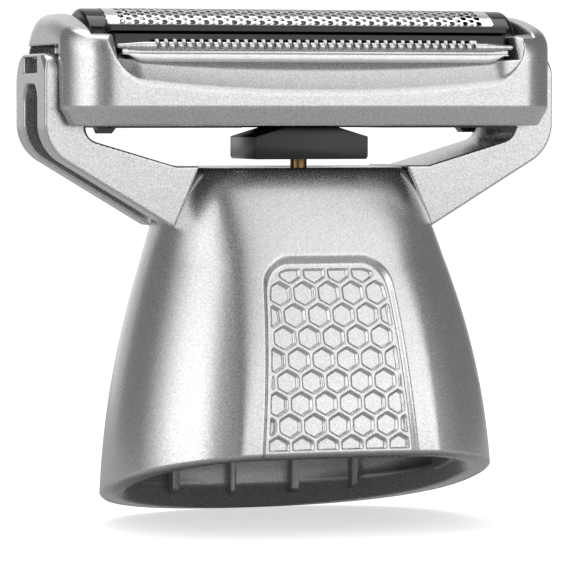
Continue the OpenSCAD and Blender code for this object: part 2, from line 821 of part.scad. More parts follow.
base_housing();
arm(-1);  // left_arm
arm(1);  // right_arm
arm_inlay(-1);  // left_arm_inlay
arm_inlay(1);  // right_arm_inlay
arm_screws();
pivot_pin(-1);  // left_pivot_pin
pivot_pin(1);  // right_pivot_pin
drive_chassis();
chassis_screws();
lever_axle();
spindle_seal();
drive_lever();
drive_spindle();
drive_block();
head_cover();
head_frame();
foil_frame();
foil_sheet();
trimmer_comb();
trimmer_ledge();
trimmer_spring();
trimmer_blade();
cutter_carrier();
cutter_blades();
cutter_springs();
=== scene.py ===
"""Looks of a foil shaver head: metallised ABS housing and yoke, tilting head, foil, trimmer and drive."""

import logging
import math
from dataclasses import dataclass, field
from enum import Enum
from typing import Any, Callable, Dict, List, Optional, Sequence, Tuple

import bmesh
import bpy
import numpy as np
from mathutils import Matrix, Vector
from mathutils.geometry import delaunay_2d_cdt


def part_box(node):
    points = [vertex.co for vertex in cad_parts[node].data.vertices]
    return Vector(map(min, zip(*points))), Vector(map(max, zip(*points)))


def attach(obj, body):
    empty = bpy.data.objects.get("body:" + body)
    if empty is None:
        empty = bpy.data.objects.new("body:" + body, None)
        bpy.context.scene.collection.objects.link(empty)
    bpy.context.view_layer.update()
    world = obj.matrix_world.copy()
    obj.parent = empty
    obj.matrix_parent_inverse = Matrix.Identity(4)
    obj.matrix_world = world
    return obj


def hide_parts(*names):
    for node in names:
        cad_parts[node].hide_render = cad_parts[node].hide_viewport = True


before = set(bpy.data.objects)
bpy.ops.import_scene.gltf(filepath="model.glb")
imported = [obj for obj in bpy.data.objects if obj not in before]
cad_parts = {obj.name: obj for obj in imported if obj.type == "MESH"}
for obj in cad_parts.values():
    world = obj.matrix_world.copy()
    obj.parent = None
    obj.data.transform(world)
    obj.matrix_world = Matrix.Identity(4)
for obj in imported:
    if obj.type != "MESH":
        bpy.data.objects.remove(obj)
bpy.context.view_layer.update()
MM = 0.001

logging.basicConfig(level=logging.INFO, format="%(name)s: %(message)s")
log = logging.getLogger("shaver_head")

Rgba = Tuple[float, float, float, float]


# ---------------------------------------------------------------- colour and shader helpers


def srgb(code: str) -> Rgba:
    """Turn an sRGB hex code into the linear colour that the shader works in.

    Args:
        code: Colour as "#rrggbb".

    Returns:
        Linear red, green, blue and an alpha of one.
    """
    parts = [int(code[i:i + 2], 16) / 255 for i in (1, 3, 5)]
    linear = [c / 12.92 if c <= 0.04045 else ((c + 0.055) / 1.055) ** 2.4 for c in parts]
    return (linear[0], linear[1], linear[2], 1.0)


def per_mm(size_mm: float) -> float:
    """Return the texture scale, in cells per metre, for a pattern with cells of size_mm."""
    return 1.0 / (size_mm * MM)


def add_node(tree: bpy.types.NodeTree, kind: str, inputs: Optional[Dict[Any, Any]] = None,
             **settings: Any) -> bpy.types.Node:
    """Add one node with its settings, values and links.

    Args:
        tree: Node tree that gets the node.
        kind: Blender's identifier of the node.
        inputs: Socket name or index to a plain value, or to an output socket to link from.
        settings: Attributes of the node itself.

    Returns:
        The new node.
    """
    node = tree.nodes.new(kind)
    for name, value in settings.items():
        setattr(node, name, value)
    for key, value in (inputs or {}).items():
        if isinstance(value, bpy.types.NodeSocket):
            tree.links.new(value, node.inputs[key])
        else:
            node.inputs[key].default_value = value
    return node


def ramp(tree: bpy.types.NodeTree, source: bpy.types.NodeSocket,
         stops: Sequence[Tuple[float, Rgba]]) -> bpy.types.Node:
    """Add a colour ramp fed by source.

    Args:
        tree: Node tree that gets the ramp.
        source: Factor socket.
        stops: Positions and colours in rising order.

    Returns:
        The ramp node.
    """
    node = add_node(tree, "ShaderNodeValToRGB", {"Fac": source})
    band = node.color_ramp
    while len(band.elements) < len(stops):
        band.elements.new(0.5)
    for element, (place, colour) in zip(band.elements, stops):
        element.position = place
        element.color = colour
    return node


# ---------------------------------------------------------------- finishes


@dataclass(frozen=True)
class MetalPaint:
    """Silver metallic paint on moulded ABS: aluminium flake in lacquer, satin, with a fine sparkle."""

    name: str = "silver_metallic_abs"
    slot: str = "silver_abs"
    light: str = "#dededd"
    dark: str = "#c3c3c4"
    roughness: float = 0.23
    flake_mm: float = 0.1  # real flakes are about 0.03 mm, drawn coarser so that they show
    flake_tilt: float = 0.08
    orange_peel_mm: float = 1.6  # slow waviness of sprayed lacquer

    def build(self) -> bpy.types.Material:
        """Return the paint as a node material."""
        material, tree, shader = new_principled(self.name)
        place = add_node(tree, "ShaderNodeTexCoord").outputs["Object"]
        flake = add_node(tree, "ShaderNodeTexVoronoi",
                         {"Vector": place, "Scale": per_mm(self.flake_mm)})
        speck = add_node(tree, "ShaderNodeSeparateColor", {"Color": flake.outputs["Color"]})
        cluster = add_node(tree, "ShaderNodeTexNoise",
                           {"Vector": place, "Scale": per_mm(self.flake_mm * 2.4), "Detail": 2.0})
        mixed = add_node(tree, "ShaderNodeMix",
                         {"Factor": 0.45, 2: cluster.outputs["Fac"], 3: speck.outputs["Green"]})
        tone = ramp(tree, mixed.outputs[0],
                    [(0.25, srgb(self.dark)), (0.75, srgb(self.light))])
        rough = add_node(tree, "ShaderNodeMapRange",
                         {"Value": speck.outputs["Red"], "To Min": self.roughness - 0.04,
                          "To Max": self.roughness + 0.06})
        peel = add_node(tree, "ShaderNodeTexNoise",
                        {"Vector": place, "Scale": per_mm(self.orange_peel_mm), "Detail": 1.0})
        wave = add_node(tree, "ShaderNodeBump",
                        {"Height": peel.outputs["Fac"], "Strength": 0.06, "Distance": 0.0001})
        sparkle = add_node(tree, "ShaderNodeBump",
                           {"Height": mixed.outputs[0], "Strength": self.flake_tilt,
                            "Distance": 0.00005, "Normal": wave.outputs["Normal"]})
        shader.inputs["Metallic"].default_value = 0.92
        shader.inputs["Coat Weight"].default_value = 0.1
        shader.inputs["Coat Roughness"].default_value = 0.15
        tree.links.new(tone.outputs["Color"], shader.inputs["Base Color"])
        tree.links.new(rough.outputs["Result"], shader.inputs["Roughness"])
        tree.links.new(sparkle.outputs["Normal"], shader.inputs["Normal"])
        return material


@dataclass(frozen=True)
class MouldedPlastic:
    """Moulded plastic: a spark-eroded tool leaves a fine even grain, a polished one a gloss."""

    name: str
    slot: str
    colour: str
    worn: str
    roughness: float
    grain_mm: float = 0.12
    grain_depth: float = 0.12

    def build(self) -> bpy.types.Material:
        """Return the plastic as a node material."""
        material, tree, shader = new_principled(self.name)
        place = add_node(tree, "ShaderNodeTexCoord").outputs["Object"]
        grain = add_node(tree, "ShaderNodeTexNoise",
                         {"Vector": place, "Scale": per_mm(self.grain_mm), "Detail": 2.0})
        cloud = add_node(tree, "ShaderNodeTexNoise",
                         {"Vector": place, "Scale": per_mm(4.0), "Detail": 3.0})
        tone = ramp(tree, cloud.outputs["Fac"],
                    [(0.35, srgb(self.colour)), (0.75, srgb(self.worn))])
        rough = add_node(tree, "ShaderNodeMapRange",
                         {"Value": cloud.outputs["Fac"], "To Min": self.roughness * 0.85,
                          "To Max": self.roughness * 1.15})
        bump = add_node(tree, "ShaderNodeBump",
                        {"Height": grain.outputs["Fac"], "Strength": self.grain_depth,
                         "Distance": 0.00004})
        shader.inputs["IOR"].default_value = 1.5
        tree.links.new(tone.outputs["Color"], shader.inputs["Base Color"])
        tree.links.new(rough.outputs["Result"], shader.inputs["Roughness"])
        tree.links.new(bump.outputs["Normal"], shader.inputs["Normal"])
        return material


@dataclass(frozen=True)
class DrawnMetal:
    """Bare metal, ground or drawn in one direction, so its scratches run along that way."""

    name: str
    slot: str
    colour: str
    shade: str
    roughness: float
    scratch_mm: Tuple[float, float, float] = (2.0, 0.06, 0.06)
    scratch_depth: float = 0.1

    def build(self) -> bpy.types.Material:
        """Return the metal as a node material."""
        material, tree, shader = new_principled(self.name)
        place = add_node(tree, "ShaderNodeTexCoord").outputs["Object"]
        stretch = add_node(tree, "ShaderNodeVectorMath",
                           {0: place, 1: tuple(per_mm(s) for s in self.scratch_mm)},
                           operation="MULTIPLY")
        lines = add_node(tree, "ShaderNodeTexNoise",
                         {"Vector": stretch.outputs["Vector"], "Scale": 1.0, "Detail": 3.0})
        tone = ramp(tree, lines.outputs["Fac"],
                    [(0.3, srgb(self.shade)), (0.7, srgb(self.colour))])
        rough = add_node(tree, "ShaderNodeMapRange",
                         {"Value": lines.outputs["Fac"], "To Min": self.roughness * 0.7,
                          "To Max": self.roughness * 1.3})
        bump = add_node(tree, "ShaderNodeBump",
                        {"Height": lines.outputs["Fac"], "Strength": self.scratch_depth,
                         "Distance": 0.00003})
        shader.inputs["Metallic"].default_value = 1.0
        tree.links.new(tone.outputs["Color"], shader.inputs["Base Color"])
        tree.links.new(rough.outputs["Result"], shader.inputs["Roughness"])
        tree.links.new(bump.outputs["Normal"], shader.inputs["Normal"])
        return material


def new_principled(name: str) -> Tuple[bpy.types.Material, bpy.types.NodeTree, bpy.types.Node]:
    """Make an empty material with a principled shader.

    Args:
        name: Name of the material.

    Returns:
        The material, its node tree and its shader node.
    """
    material = bpy.data.materials.new(name)
    material.use_nodes = True
    tree = material.node_tree
    tree.nodes.clear()
    shader = tree.nodes.new("ShaderNodeBsdfPrincipled")
    output = tree.nodes.new("ShaderNodeOutputMaterial")
    tree.links.new(shader.outputs["BSDF"], output.inputs["Surface"])
    return material, tree, shader


class Finish(Enum):
    """Every finish on the shaver head, by the process that made it."""

    SILVER = MetalPaint()
    # the bar that rubs on the skin gets a lighter copy of the paint, a painted highlight of its bright
    # front strip, and is more matt than the cover
    SKIN_BAR = MetalPaint("silver_bar_painted_highlight", "silver_abs", "#eeeeec", "#d8d8d7", 0.34)
    # the inside of the socket gets a darker, duller copy of the paint: the darker colour is painted shade
    # of the hollow socket
    SILVER_INSIDE = MetalPaint("silver_abs_inside_painted_shade", "silver_abs", "#cfd1d3", "#b0b2b5", 0.42)
    # dark strip on the floor of the arms' channels: partly a moulded inlay, partly painted shade of the
    # deep channel
    INLAY_AND_PAINTED_SHADE = MouldedPlastic("dark_abs_inlay_and_painted_shade", "dark_abs", "#3a3c3e", "#45474a", 0.5)
    ACETAL = MouldedPlastic("black_moulded_acetal", "black_acetal", "#101012", "#1a1a1c", 0.24)
    GLOSS_BLACK = MouldedPlastic("black_polished_abs", "black_gloss", "#050506", "#09090b", 0.1,
                                 0.4, 0.03)
    PLATED = DrawnMetal("zinc_plated_steel", "plated_steel", "#b9bbbd", "#94979b", 0.32)
    BLADE = DrawnMetal("ground_blade_steel", "blade_steel", "#e2e2e0", "#b4b5b6", 0.24,
                       (0.06, 1.5, 1.5))
    FOIL = DrawnMetal("electroformed_nickel", "nickel_foil", "#f4f3f1", "#e2e2e1", 0.14,
                      (1.5, 0.3, 0.3), 0.03)
    # the spindle's brass is toned down to a dark bronze: painted shade of the pin under the driver
    BRASS = DrawnMetal("turned_brass", "brass_rod", "#a98a5e", "#6f553a", 0.28,
                       (0.6, 0.6, 0.05))
    RUBBER = MouldedPlastic("moulded_rubber", "soft_seal", "#1b1b1c", "#252526", 0.7)

    def material(self) -> bpy.types.Material:
        """Return this finish's material, made once."""
        found = bpy.data.materials.get(self.value.name)
        return found if found else self.value.build()


# ---------------------------------------------------------------- mesh helpers


def place_mesh(name: str, points: np.ndarray, faces: Sequence[Sequence[int]],
               finish: Finish) -> bpy.types.Object:
    """Make a mesh object from points in millimetres.

    Args:
        name: Name of the object.
        points: One row of x, y, z for each vertex, in millimetres.
        faces: Vertex numbers of each face.
        finish: Finish of the whole mesh.

    Returns:
        The new object, smooth shaded.
    """
    mesh = bpy.data.meshes.new(name)
    mesh.from_pydata((np.asarray(points, float) * MM).tolist(), [], [list(f) for f in faces])
    mesh.validate()
    mesh.materials.append(finish.material())
    piece = bpy.data.objects.new(name, mesh)
    bpy.context.scene.collection.objects.link(piece)
    mesh.polygons.foreach_set("use_smooth", [True] * len(mesh.polygons))
    mesh.update()
    return piece


def tube_faces(rows: int, columns: int, cap_ends: bool = False) -> List[List[int]]:
    """Return the faces of a grid whose columns close on themselves.

    Args:
        rows: Number of rings.
        columns: Number of points in each ring.
        cap_ends: Whether the first and last ring are each filled by one face.

    Returns:
        Vertex numbers of each face.
    """
    first = np.arange(columns)
    after = (first + 1) % columns
    faces: List[List[int]] = []
    for row in range(rows - 1):
        low, high = row * columns, (row + 1) * columns
        faces += np.stack([low + first, low + after, high + after, high + first], 1).tolist()
    if cap_ends:
        faces.append(first[::-1].tolist())
        faces.append(((rows - 1) * columns + first).tolist())
    return faces


def recalc_outside(piece: bpy.types.Object) -> bpy.types.Object:
    """Point every face of a closed mesh outwards.

    Args:
        piece: Mesh object to correct.

    Returns:
        The same object.
    """
    work = bmesh.new()
    work.from_mesh(piece.data)
    bmesh.ops.recalc_face_normals(work, faces=work.faces)
    work.to_mesh(piece.data)
    work.free()
    piece.data.update()
    return piece


def apply_modifiers(piece: bpy.types.Object) -> bpy.types.Object:
    """Replace an object's mesh by the result of its modifiers.

    Args:
        piece: Object with modifiers.

    Returns:
        The same object, with none left.
    """
    graph = bpy.context.evaluated_depsgraph_get()
    result = bpy.data.meshes.new_from_object(piece.evaluated_get(graph))
    old = piece.data
    piece.modifiers.clear()
    piece.data = result
    bpy.data.meshes.remove(old)
    return piece


def soften_edges(piece: bpy.types.Object, width_mm: float, angle: float = 32.0,
                 segments: int = 3) -> bpy.types.Object:
    """Round the sharp edges of a mesh as a mould or a tumbling barrel leaves them.

    Args:
        piece: Mesh object.
        width_mm: Width of the rounding.
        angle: Edges sharper than this many degrees are rounded.
        segments: Facets across the rounding.

    Returns:
        The same object.
    """
    bevel = piece.modifiers.new("edge", "BEVEL")
    bevel.width = width_mm * MM
    bevel.segments = segments
    bevel.limit_method = "ANGLE"
    bevel.angle_limit = math.radians(angle)
    bevel.harden_normals = False
    bevel.use_clamp_overlap = True
    apply_modifiers(piece)
    return shade_by_angle(piece)


def shade_by_angle(piece: bpy.types.Object, angle: float = 32.0) -> bpy.types.Object:
    """Shade a mesh smooth, apart from its edges sharper than angle degrees."""
    mesh = piece.data
    mesh.polygons.foreach_set("use_smooth", [True] * len(mesh.polygons))
    mesh.set_sharp_from_angle(angle=math.radians(angle))
    mesh.update()
    return piece


def refined_copy(node: str, name: str, finish: Finish, edge_mm: float,
                 merge_mm: float = 0.002) -> bpy.types.Object:
    """Copy a CAD node as a clean mesh with rounded edges.

    Args:
        node: Name of the CAD node.
        name: Name of the new piece.
        finish: Finish of the piece.
        edge_mm: Width of the edge rounding.
        merge_mm: Vertices closer than this are joined.

    Returns:
        The new piece, not yet riding on a body.
    """
    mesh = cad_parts[node].data.copy()
    mesh.name = name
    mesh.materials.clear()
    mesh.materials.append(finish.material())
    for polygon in mesh.polygons:
        polygon.material_index = 0
    work = bmesh.new()
    work.from_mesh(mesh)
    bmesh.ops.remove_doubles(work, verts=work.verts, dist=merge_mm * MM)
    bmesh.ops.dissolve_limit(work, angle_limit=math.radians(0.6), verts=work.verts,
                             edges=work.edges)
    work.to_mesh(mesh)
    work.free()
    piece = bpy.data.objects.new(name, mesh)
    bpy.context.scene.collection.objects.link(piece)
    return soften_edges(piece, edge_mm)


def adopt(piece: bpy.types.Object, body: str, slot: str, *nodes: str) -> bpy.types.Object:
    """Put a finished piece on its body, in place of its CAD nodes.

    Args:
        piece: The finished piece.
        body: Body that it rides on.
        slot: Material slot of the record; not used.
        nodes: CAD nodes that it stands for.

    Returns:
        The same piece.
    """
    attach(piece, body)
    if nodes:
        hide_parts(*nodes)
    log.info("%s rides on %s, %d faces", piece.name, body, len(piece.data.polygons))
    return piece


# ---------------------------------------------------------------- shapes from distance fields

Field = Callable[[np.ndarray, np.ndarray, np.ndarray], np.ndarray]


def soft_max(a: np.ndarray, b: np.ndarray, blend: float) -> np.ndarray:
    """Return the larger of a and b, with a fillet of about blend where they meet."""
    near = np.maximum(blend - np.abs(a - b), 0.0) / blend
    return np.maximum(a, b) + near * near * blend / 4


def soft_min(a: np.ndarray, b: np.ndarray, blend: float) -> np.ndarray:
    """Return the smaller of a and b, with a fillet of about blend where they meet."""
    return -soft_max(-a, -b, blend)


def smooth(low: float, high: float, value: np.ndarray) -> np.ndarray:
    """Return a smooth step of value from 0 at low to 1 at high."""
    t = np.clip((value - low) / (high - low), 0.0, 1.0)
    return t * t * (3.0 - 2.0 * t)


def round_box(a: np.ndarray, b: np.ndarray, half_a: float, half_b: float,
              radius: float) -> np.ndarray:
    """Return the distance to a rectangle with round corners, centred on a = b = 0."""
    qa = np.abs(a) - (half_a - radius)
    qb = np.abs(b) - (half_b - radius)
    return np.hypot(np.maximum(qa, 0), np.maximum(qb, 0)) + np.minimum(np.maximum(qa, qb), 0) - radius


def slope(field: Field, points: np.ndarray, step: float = 0.01) -> np.ndarray:
    """Return the gradient of a field at each point, by central differences."""
    parts = []
    for axis in range(3):
        shift = np.zeros(3)
        shift[axis] = step
        parts.append((field(*(points + shift).T) - field(*(points - shift).T)) / (2 * step))
    return np.stack(parts, 1)


def surface_net(field: Field, low: Sequence[float], high: Sequence[float],
                cell: float) -> Tuple[np.ndarray, np.ndarray]:
    """Mesh the surface where a distance field is zero.

    Args:
        field: Distance in millimetres, negative inside, of arrays x, y and z.
        low: Lowest corner of the box that holds the shape.
        high: Highest corner of that box.
        cell: Size of the cells.

    Returns:
        The points, settled on the surface, and the four-sided faces.
    """
    axes = [np.arange(a - 1.5 * cell, b + 2.5 * cell, cell) for a, b in zip(low, high)]
    value = field(*np.meshgrid(*axes, indexing="ij"))
    cells = tuple(n - 1 for n in value.shape)
    total, count = np.zeros(cells + (3,)), np.zeros(cells)
    crossings = []
    for axis in range(3):
        before = np.take(value, range(cells[axis]), axis)
        after = np.take(value, range(1, cells[axis] + 1), axis)
        cross = (before < 0) != (after < 0)
        crossings.append((cross, before < 0))
        share = np.where(cross, before / np.where(cross, before - after, 1.0), 0.0)
        others = [i for i in range(3) if i != axis]
        for step in ((0, 0), (0, 1), (1, 0), (1, 1)):
            window = [slice(None)] * 3
            for other, move in zip(others, step):
                window[other] = slice(move, cells[other] + move)
            hit = cross[tuple(window)]
            total[..., axis] += np.where(hit, share[tuple(window)], 0.0)
            for other, move in zip(others, step):
                total[..., other] += hit * move
            count += hit
    active = count > 0
    number = np.full(cells, -1)
    number[active] = np.arange(active.sum())
    place = np.argwhere(active) + total[active] / count[active][:, None]
    points = place * cell + np.array([a[0] for a in axes])
    for _ in range(4):
        pull = slope(field, points)
        away = field(*points.T)[:, None] * pull / np.maximum((pull ** 2).sum(1), 0.05)[:, None]
        points = points - np.clip(away, -cell / 2, cell / 2)
    faces = []
    for axis, (cross, inward) in enumerate(crossings):
        others = [i for i in range(3) if i != axis]
        window = [slice(None)] * 3
        for other in others:
            window[other] = slice(1, cells[other])
        where = np.argwhere(cross[tuple(window)])
        flip = inward[tuple(window)][tuple(where.T)]
        corners = []
        for step in ((0, 0), (1, 0), (1, 1), (0, 1)):
            at = where.copy()
            for other, move in zip(others, step):
                at[:, other] += move
            corners.append(number[tuple(at.T)])
        quads = np.stack(corners, 1)
        flip = flip if axis != 1 else ~flip
        quads[~flip] = quads[~flip][:, ::-1]
        faces.append(quads)
    return points, np.concatenate(faces)


def carve(name: str, field: Field, low: Sequence[float], high: Sequence[float], cell: float,
          finish: Finish) -> bpy.types.Object:
    """Make a piece from a distance field, with the field's own slope as its shading.

    Args:
        name: Name of the piece.
        field: Distance in millimetres.
        low: Lowest corner of the box that holds it.
        high: Highest corner of that box.
        cell: Size of its faces.
        finish: Finish of the whole piece.

    Returns:
        The new piece.
    """
    points, faces = surface_net(field, low, high, cell)
    piece = place_mesh(name, points, faces.tolist(), finish)
    normals = slope(field, points)
    normals /= np.maximum(np.linalg.norm(normals, axis=1, keepdims=True), 1e-6)
    if len(piece.data.vertices) == len(normals):
        piece.data.normals_split_custom_set_from_vertices(normals.tolist())
    return piece


# ---------------------------------------------------------------- housing


@dataclass
class GripPattern:
    """Sunken panel with a net of hexagonal pockets, in millimetres on the housing's front."""

    half_low: float = 8.25
    half_high: float = 6.8
    low: float = 8.5
    high: float = 26.4
    top: float = 28.35
    corner: float = 3.0
    depth: float = 0.6
    pocket: float = 0.34
    column_pitch: float = 2.575
    row_pitch: float = 2.205
    first_row: float = 24.55
    rib: float = 0.36
    bank: float = 0.5  # width of the sloping border
    bank_more: float = 0.75  # how much wider the border is at the panel's top
    top_soft: float = 4.0
    border: float = 0.3
    rim_gap: float = 0.55
    pocket_bank: float = 0.16
    corner_sharpness: float = 14.0

    def inside(self, x: np.ndarray, z: np.ndarray) -> np.ndarray:
        """Return the distance in from the panel's outline, negative outside it."""
        share = np.clip((z - self.low) / (self.high - self.low), 0.0, 1.2)
        half = self.half_low + (self.half_high - self.half_low) * share
        qx = np.abs(x) - (half - self.corner)
        qz = z - (self.top - self.corner)
        out = np.hypot(np.maximum(qx, 0.0), np.maximum(qz, 0.0))
        return self.corner - out - np.minimum(np.maximum(qx, qz), 0.0)

    def cell_edge(self, x: np.ndarray, z: np.ndarray) -> np.ndarray:
        """Return the distance from each point to the border of its hexagonal cell."""
        best = np.full(x.shape, 9.0)
        edge = np.zeros(x.shape)
        for shift in (0, 1):
            row = 2 * np.round(((z - self.first_row) / self.row_pitch - shift) / 2) + shift
            along = x / self.column_pitch - 0.5 * shift
            du = along - np.round(along)
            dv = ((z - self.first_row) / self.row_pitch - row) * math.sqrt(0.75)
            reach = np.hypot(du, dv)
            flat = np.abs(du)
            slant = 0.5 * np.abs(du) + math.sqrt(0.75) * np.abs(dv)
            # a power mean in place of the larger one rounds the pocket's corners
            sharp = self.corner_sharpness
            metric = (flat ** sharp + slant ** sharp) ** (1 / sharp)
            nearer = reach < best
            edge = np.where(nearer, (0.5 - metric) * self.column_pitch, edge)
            best = np.where(nearer, reach, best)
        return edge

    def sink(self, x: np.ndarray, z: np.ndarray, above_rim: np.ndarray) -> np.ndarray:
        """Return how deep the surface lies below the housing's skin.

        Args:
            x: Place across the front.
            z: Height.
            above_rim: Height above the slanted rim.

        Returns:
            Depth in millimetres, positive inwards.
        """
        into = self.inside(x, z)
        upper = smooth(self.top - self.top_soft, self.top, z)
        bank = self.bank + self.bank_more * upper
        panel = self.depth * smooth(0.0, 1.0, into / bank)
        clear = np.minimum(self.cell_edge(x, z) - self.rib / 2, into - bank - self.border)
        clear = np.minimum(clear, above_rim - self.rim_gap)
        return panel + self.pocket * smooth(0.0, self.pocket_bank, clear) * (into > 0)


@dataclass
class SocketHousing:
    """Hollow silver socket that clips on the handle, with its grip panel, ribs and lugs."""

    rim_half: float = 20.2
    rim_depth: float = 16.04
    rim_slope: float = 14.8
    deck_half: float = 12.0
    deck_front: float = 4.6
    deck_back: float = 9.6
    outline: float = 2.4
    outline_top: float = 3.2
    wall: float = 1.8
    square_from: float = 27.0  # height where the section starts to grow squarer
    fine_mm: float = 0.11
    fine_share: float = 0.74  # share of the height that the grip panel reaches
    fine_height: float = 21.5
    coarse_rows: int = 26
    side_columns: int = 150
    edge_r: float = 0.3
    rim_r_height: float = 0.35
    panel_half: float = 11.2
    crease_low: float = 10.9
    crease_high: float = 6.5
    face_crown: float = 0.045
    face_out: float = 0.65
    # the rim's land and the step behind it: share of the height, inset in front, inset at the ends
    lip: Tuple[Tuple[float, float, float], ...] = (
        (0.0, 1.35, 2.3), (0.006, 1.6, 2.6), (0.05, 1.65, 2.65), (0.056, 1.95, 3.0))
    # ribs inside the back wall: place across, width and reach inwards
    ribs: Tuple[Tuple[float, float, float], ...] = (
        (-9.5, 0.9, 3.2), (-2.6, 0.7, 2.9), (4.2, 0.9, 3.2), (10.4, 0.7, 2.9))
    clip_foot: float = 1.1  # height of the clips' feet above the rim
    clip_top: float = 21.0
    lug_x: float = 15.2
    lug_half: float = 1.3
    lug_reach: float = 3.4
    lug_back: float = 2.0
    lug_h: float = 4.2
    nub_x: float = -11.2
    nub_r: float = 0.95
    clip_cell: float = 0.26
    grip: GripPattern = field(default_factory=GripPattern)

    def __post_init__(self) -> None:
        """Take the deck height from the frame."""
        self.deck_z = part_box("base_housing")[1].z / MM

    def rim_z(self, y: np.ndarray) -> np.ndarray:
        """Return the height of the slanted rim plane at y."""
        return (self.rim_depth - y) * math.tan(math.radians(self.rim_slope))

    def section(self, z: np.ndarray, inset: float, inset_end: float) -> Tuple[np.ndarray, ...]:
        """Return the half width, middle and half depth of the section at height z."""
        up = np.clip(z, 0.0, self.deck_z) / self.deck_z
        half = self.deck_half + (self.rim_half - self.deck_half) * (1 - up ** 2) - inset_end
        front_depth = self.rim_depth + self.face_out - self.deck_front
        front = -self.deck_front - front_depth * (1 - up ** 2.5) + inset
        back = self.deck_back + (self.rim_depth - self.deck_back) * (1 - up ** 2) - inset
        return half, (front + back) / 2, (back - front) / 2

    def power(self, z: np.ndarray) -> np.ndarray:
        """Return how square the section is at height z: 2 is an ellipse."""
        return self.outline + (self.outline_top - self.outline) * smooth(self.square_from, self.deck_z, z)

    def flatten(self, x: np.ndarray, y: np.ndarray, z: np.ndarray,
                shape: Tuple[np.ndarray, np.ndarray, np.ndarray]) -> np.ndarray:
        """Return y with the flat front face cut between its two creases.

        Args:
            x: Place across the section.
            y: Place on the section's round outline.
            z: Height.
            shape: Half width, middle and half depth of the section.

        Returns:
            The new y, changed only between the creases.
        """
        half, middle, depth = shape
        up = np.clip(z, 0.0, self.deck_z) / self.deck_z
        crease = self.crease_low - (self.crease_low - self.crease_high) * up ** 1.3
        n = self.power(z)
        edge = middle - depth * (1 - (crease / half) ** n) ** (1 / n)
        face = edge - self.face_crown * crease * (1 - (x / crease) ** 2)
        blend = 0.08 + 0.9 * up ** 2
        return np.where(y < middle, soft_max(y, face, blend), y)

    def ring(self, share: float, inset: float, inset_end: float,
             columns: Tuple[np.ndarray, np.ndarray]) -> np.ndarray:
        """Return one ring of points between the rim (share 0) and the deck (share 1).

        Args:
            share: Height of the ring, from 0 at the rim to 1 at the deck.
            inset: How far it lies inside the skin at the front and back.
            inset_end: How far it lies inside the skin at the two ends.
            columns: Front columns as x in millimetres, and the other columns as angles.

        Returns:
            One point for each column.
        """
        front_x, turn = columns
        z = np.full(len(front_x) + len(turn), self.deck_z * 0.5)
        for _ in range(8):  # the rim's height depends on y, and y on the height
            half, middle, depth = self.section(z, inset, inset_end)
            n = self.power(z)
            split = len(front_x)
            x_front = front_x * (half[:split] / (half[:split] + inset_end))
            y_front = -(1 - np.abs(x_front / half[:split]) ** n[:split]) ** (1 / n[:split])
            first = np.abs(front_x[-1] / (half[split:] + inset_end)) ** (n[split:] / 2)
            start = np.arcsin(first)
            angle = start + (2 * math.pi - 2 * start) * turn
            sine, cosine = np.sin(angle), np.cos(angle)
            x_rest = half[split:] * np.sign(sine) * np.abs(sine) ** (2 / n[split:])
            y_rest = -np.sign(cosine) * np.abs(cosine) ** (2 / n[split:])
            x = np.concatenate([x_front, x_rest])
            y = middle + depth * np.concatenate([y_front, y_rest])
            y = self.flatten(x, y, z, (half, middle, depth))
            z = self.rim_z(y) * (1 - share) + self.deck_z * share
        return np.stack([x, y, z], 1)

    def shell(self) -> bpy.types.Object:
        """Build the skin, rim and inside as one closed surface."""
        wide = int(2 * self.panel_half / self.fine_mm)
        columns = (np.linspace(-self.panel_half, self.panel_half, wide),
                   np.linspace(0, 1, self.side_columns + 2)[1:-1])
        tall = int(self.fine_height / self.fine_mm)
        shares = np.concatenate([np.linspace(0, self.fine_share, tall),
                                 np.linspace(self.fine_share, 1, self.coarse_rows)[1:]])
        outer = np.array([self.ring(s, 0, 0, columns) for s in shares])
        along = np.roll(outer, -1, 1) - np.roll(outer, 1, 1)
        upward = np.gradient(outer, axis=0)
        normal = np.cross(along, upward)
        normal /= np.linalg.norm(normal, axis=2, keepdims=True)
        x, y, z = outer[..., 0], outer[..., 1], outer[..., 2]
        above = z - self.rim_z(y)
        depth = self.grip.sink(x, z, above) * (y < 0)
        rim_round = self.edge_r * (1 - smooth(0.0, self.rim_r_height, above)) ** 2
        deck_round = self.edge_r * smooth(-0.5, 0.0, z - self.deck_z) ** 2
        outer = outer - normal * (depth + rim_round + deck_round)[..., None]
        inner_rows = [self.ring(*step, columns) for step in self.lip]
        inner_rows += [self.ring(s, self.wall, 2.4 - 0.6 * s, columns)
                       for s in np.linspace(0.07, 0.93, 24)]
        inner = np.array(inner_rows)[::-1]
        deck = [outer[-1] * [t, t, 1] + [0, (1 - t) * 2.5, 0] for t in (0.96, 0.5, 0.02)]
        roof = [inner[0] * [t, t, 1] + [0, (1 - t) * 2.0, 0] for t in (0.02, 0.5)]
        rows = np.concatenate([np.array(roof), inner, outer, np.array(deck)])
        piece = place_mesh("socket_housing", rows.reshape(-1, 3),
                           tube_faces(len(rows), rows.shape[1], cap_ends=True), Finish.SILVER)
        # the inside faces take the darker copy of the paint: painted shade
        piece.data.materials.append(Finish.SILVER_INSIDE.material())
        inside_faces = (len(roof) + len(inner) - 3) * rows.shape[1]
        for polygon in piece.data.polygons[:inside_faces]:
            polygon.material_index = 1
        return recalc_outside(piece)

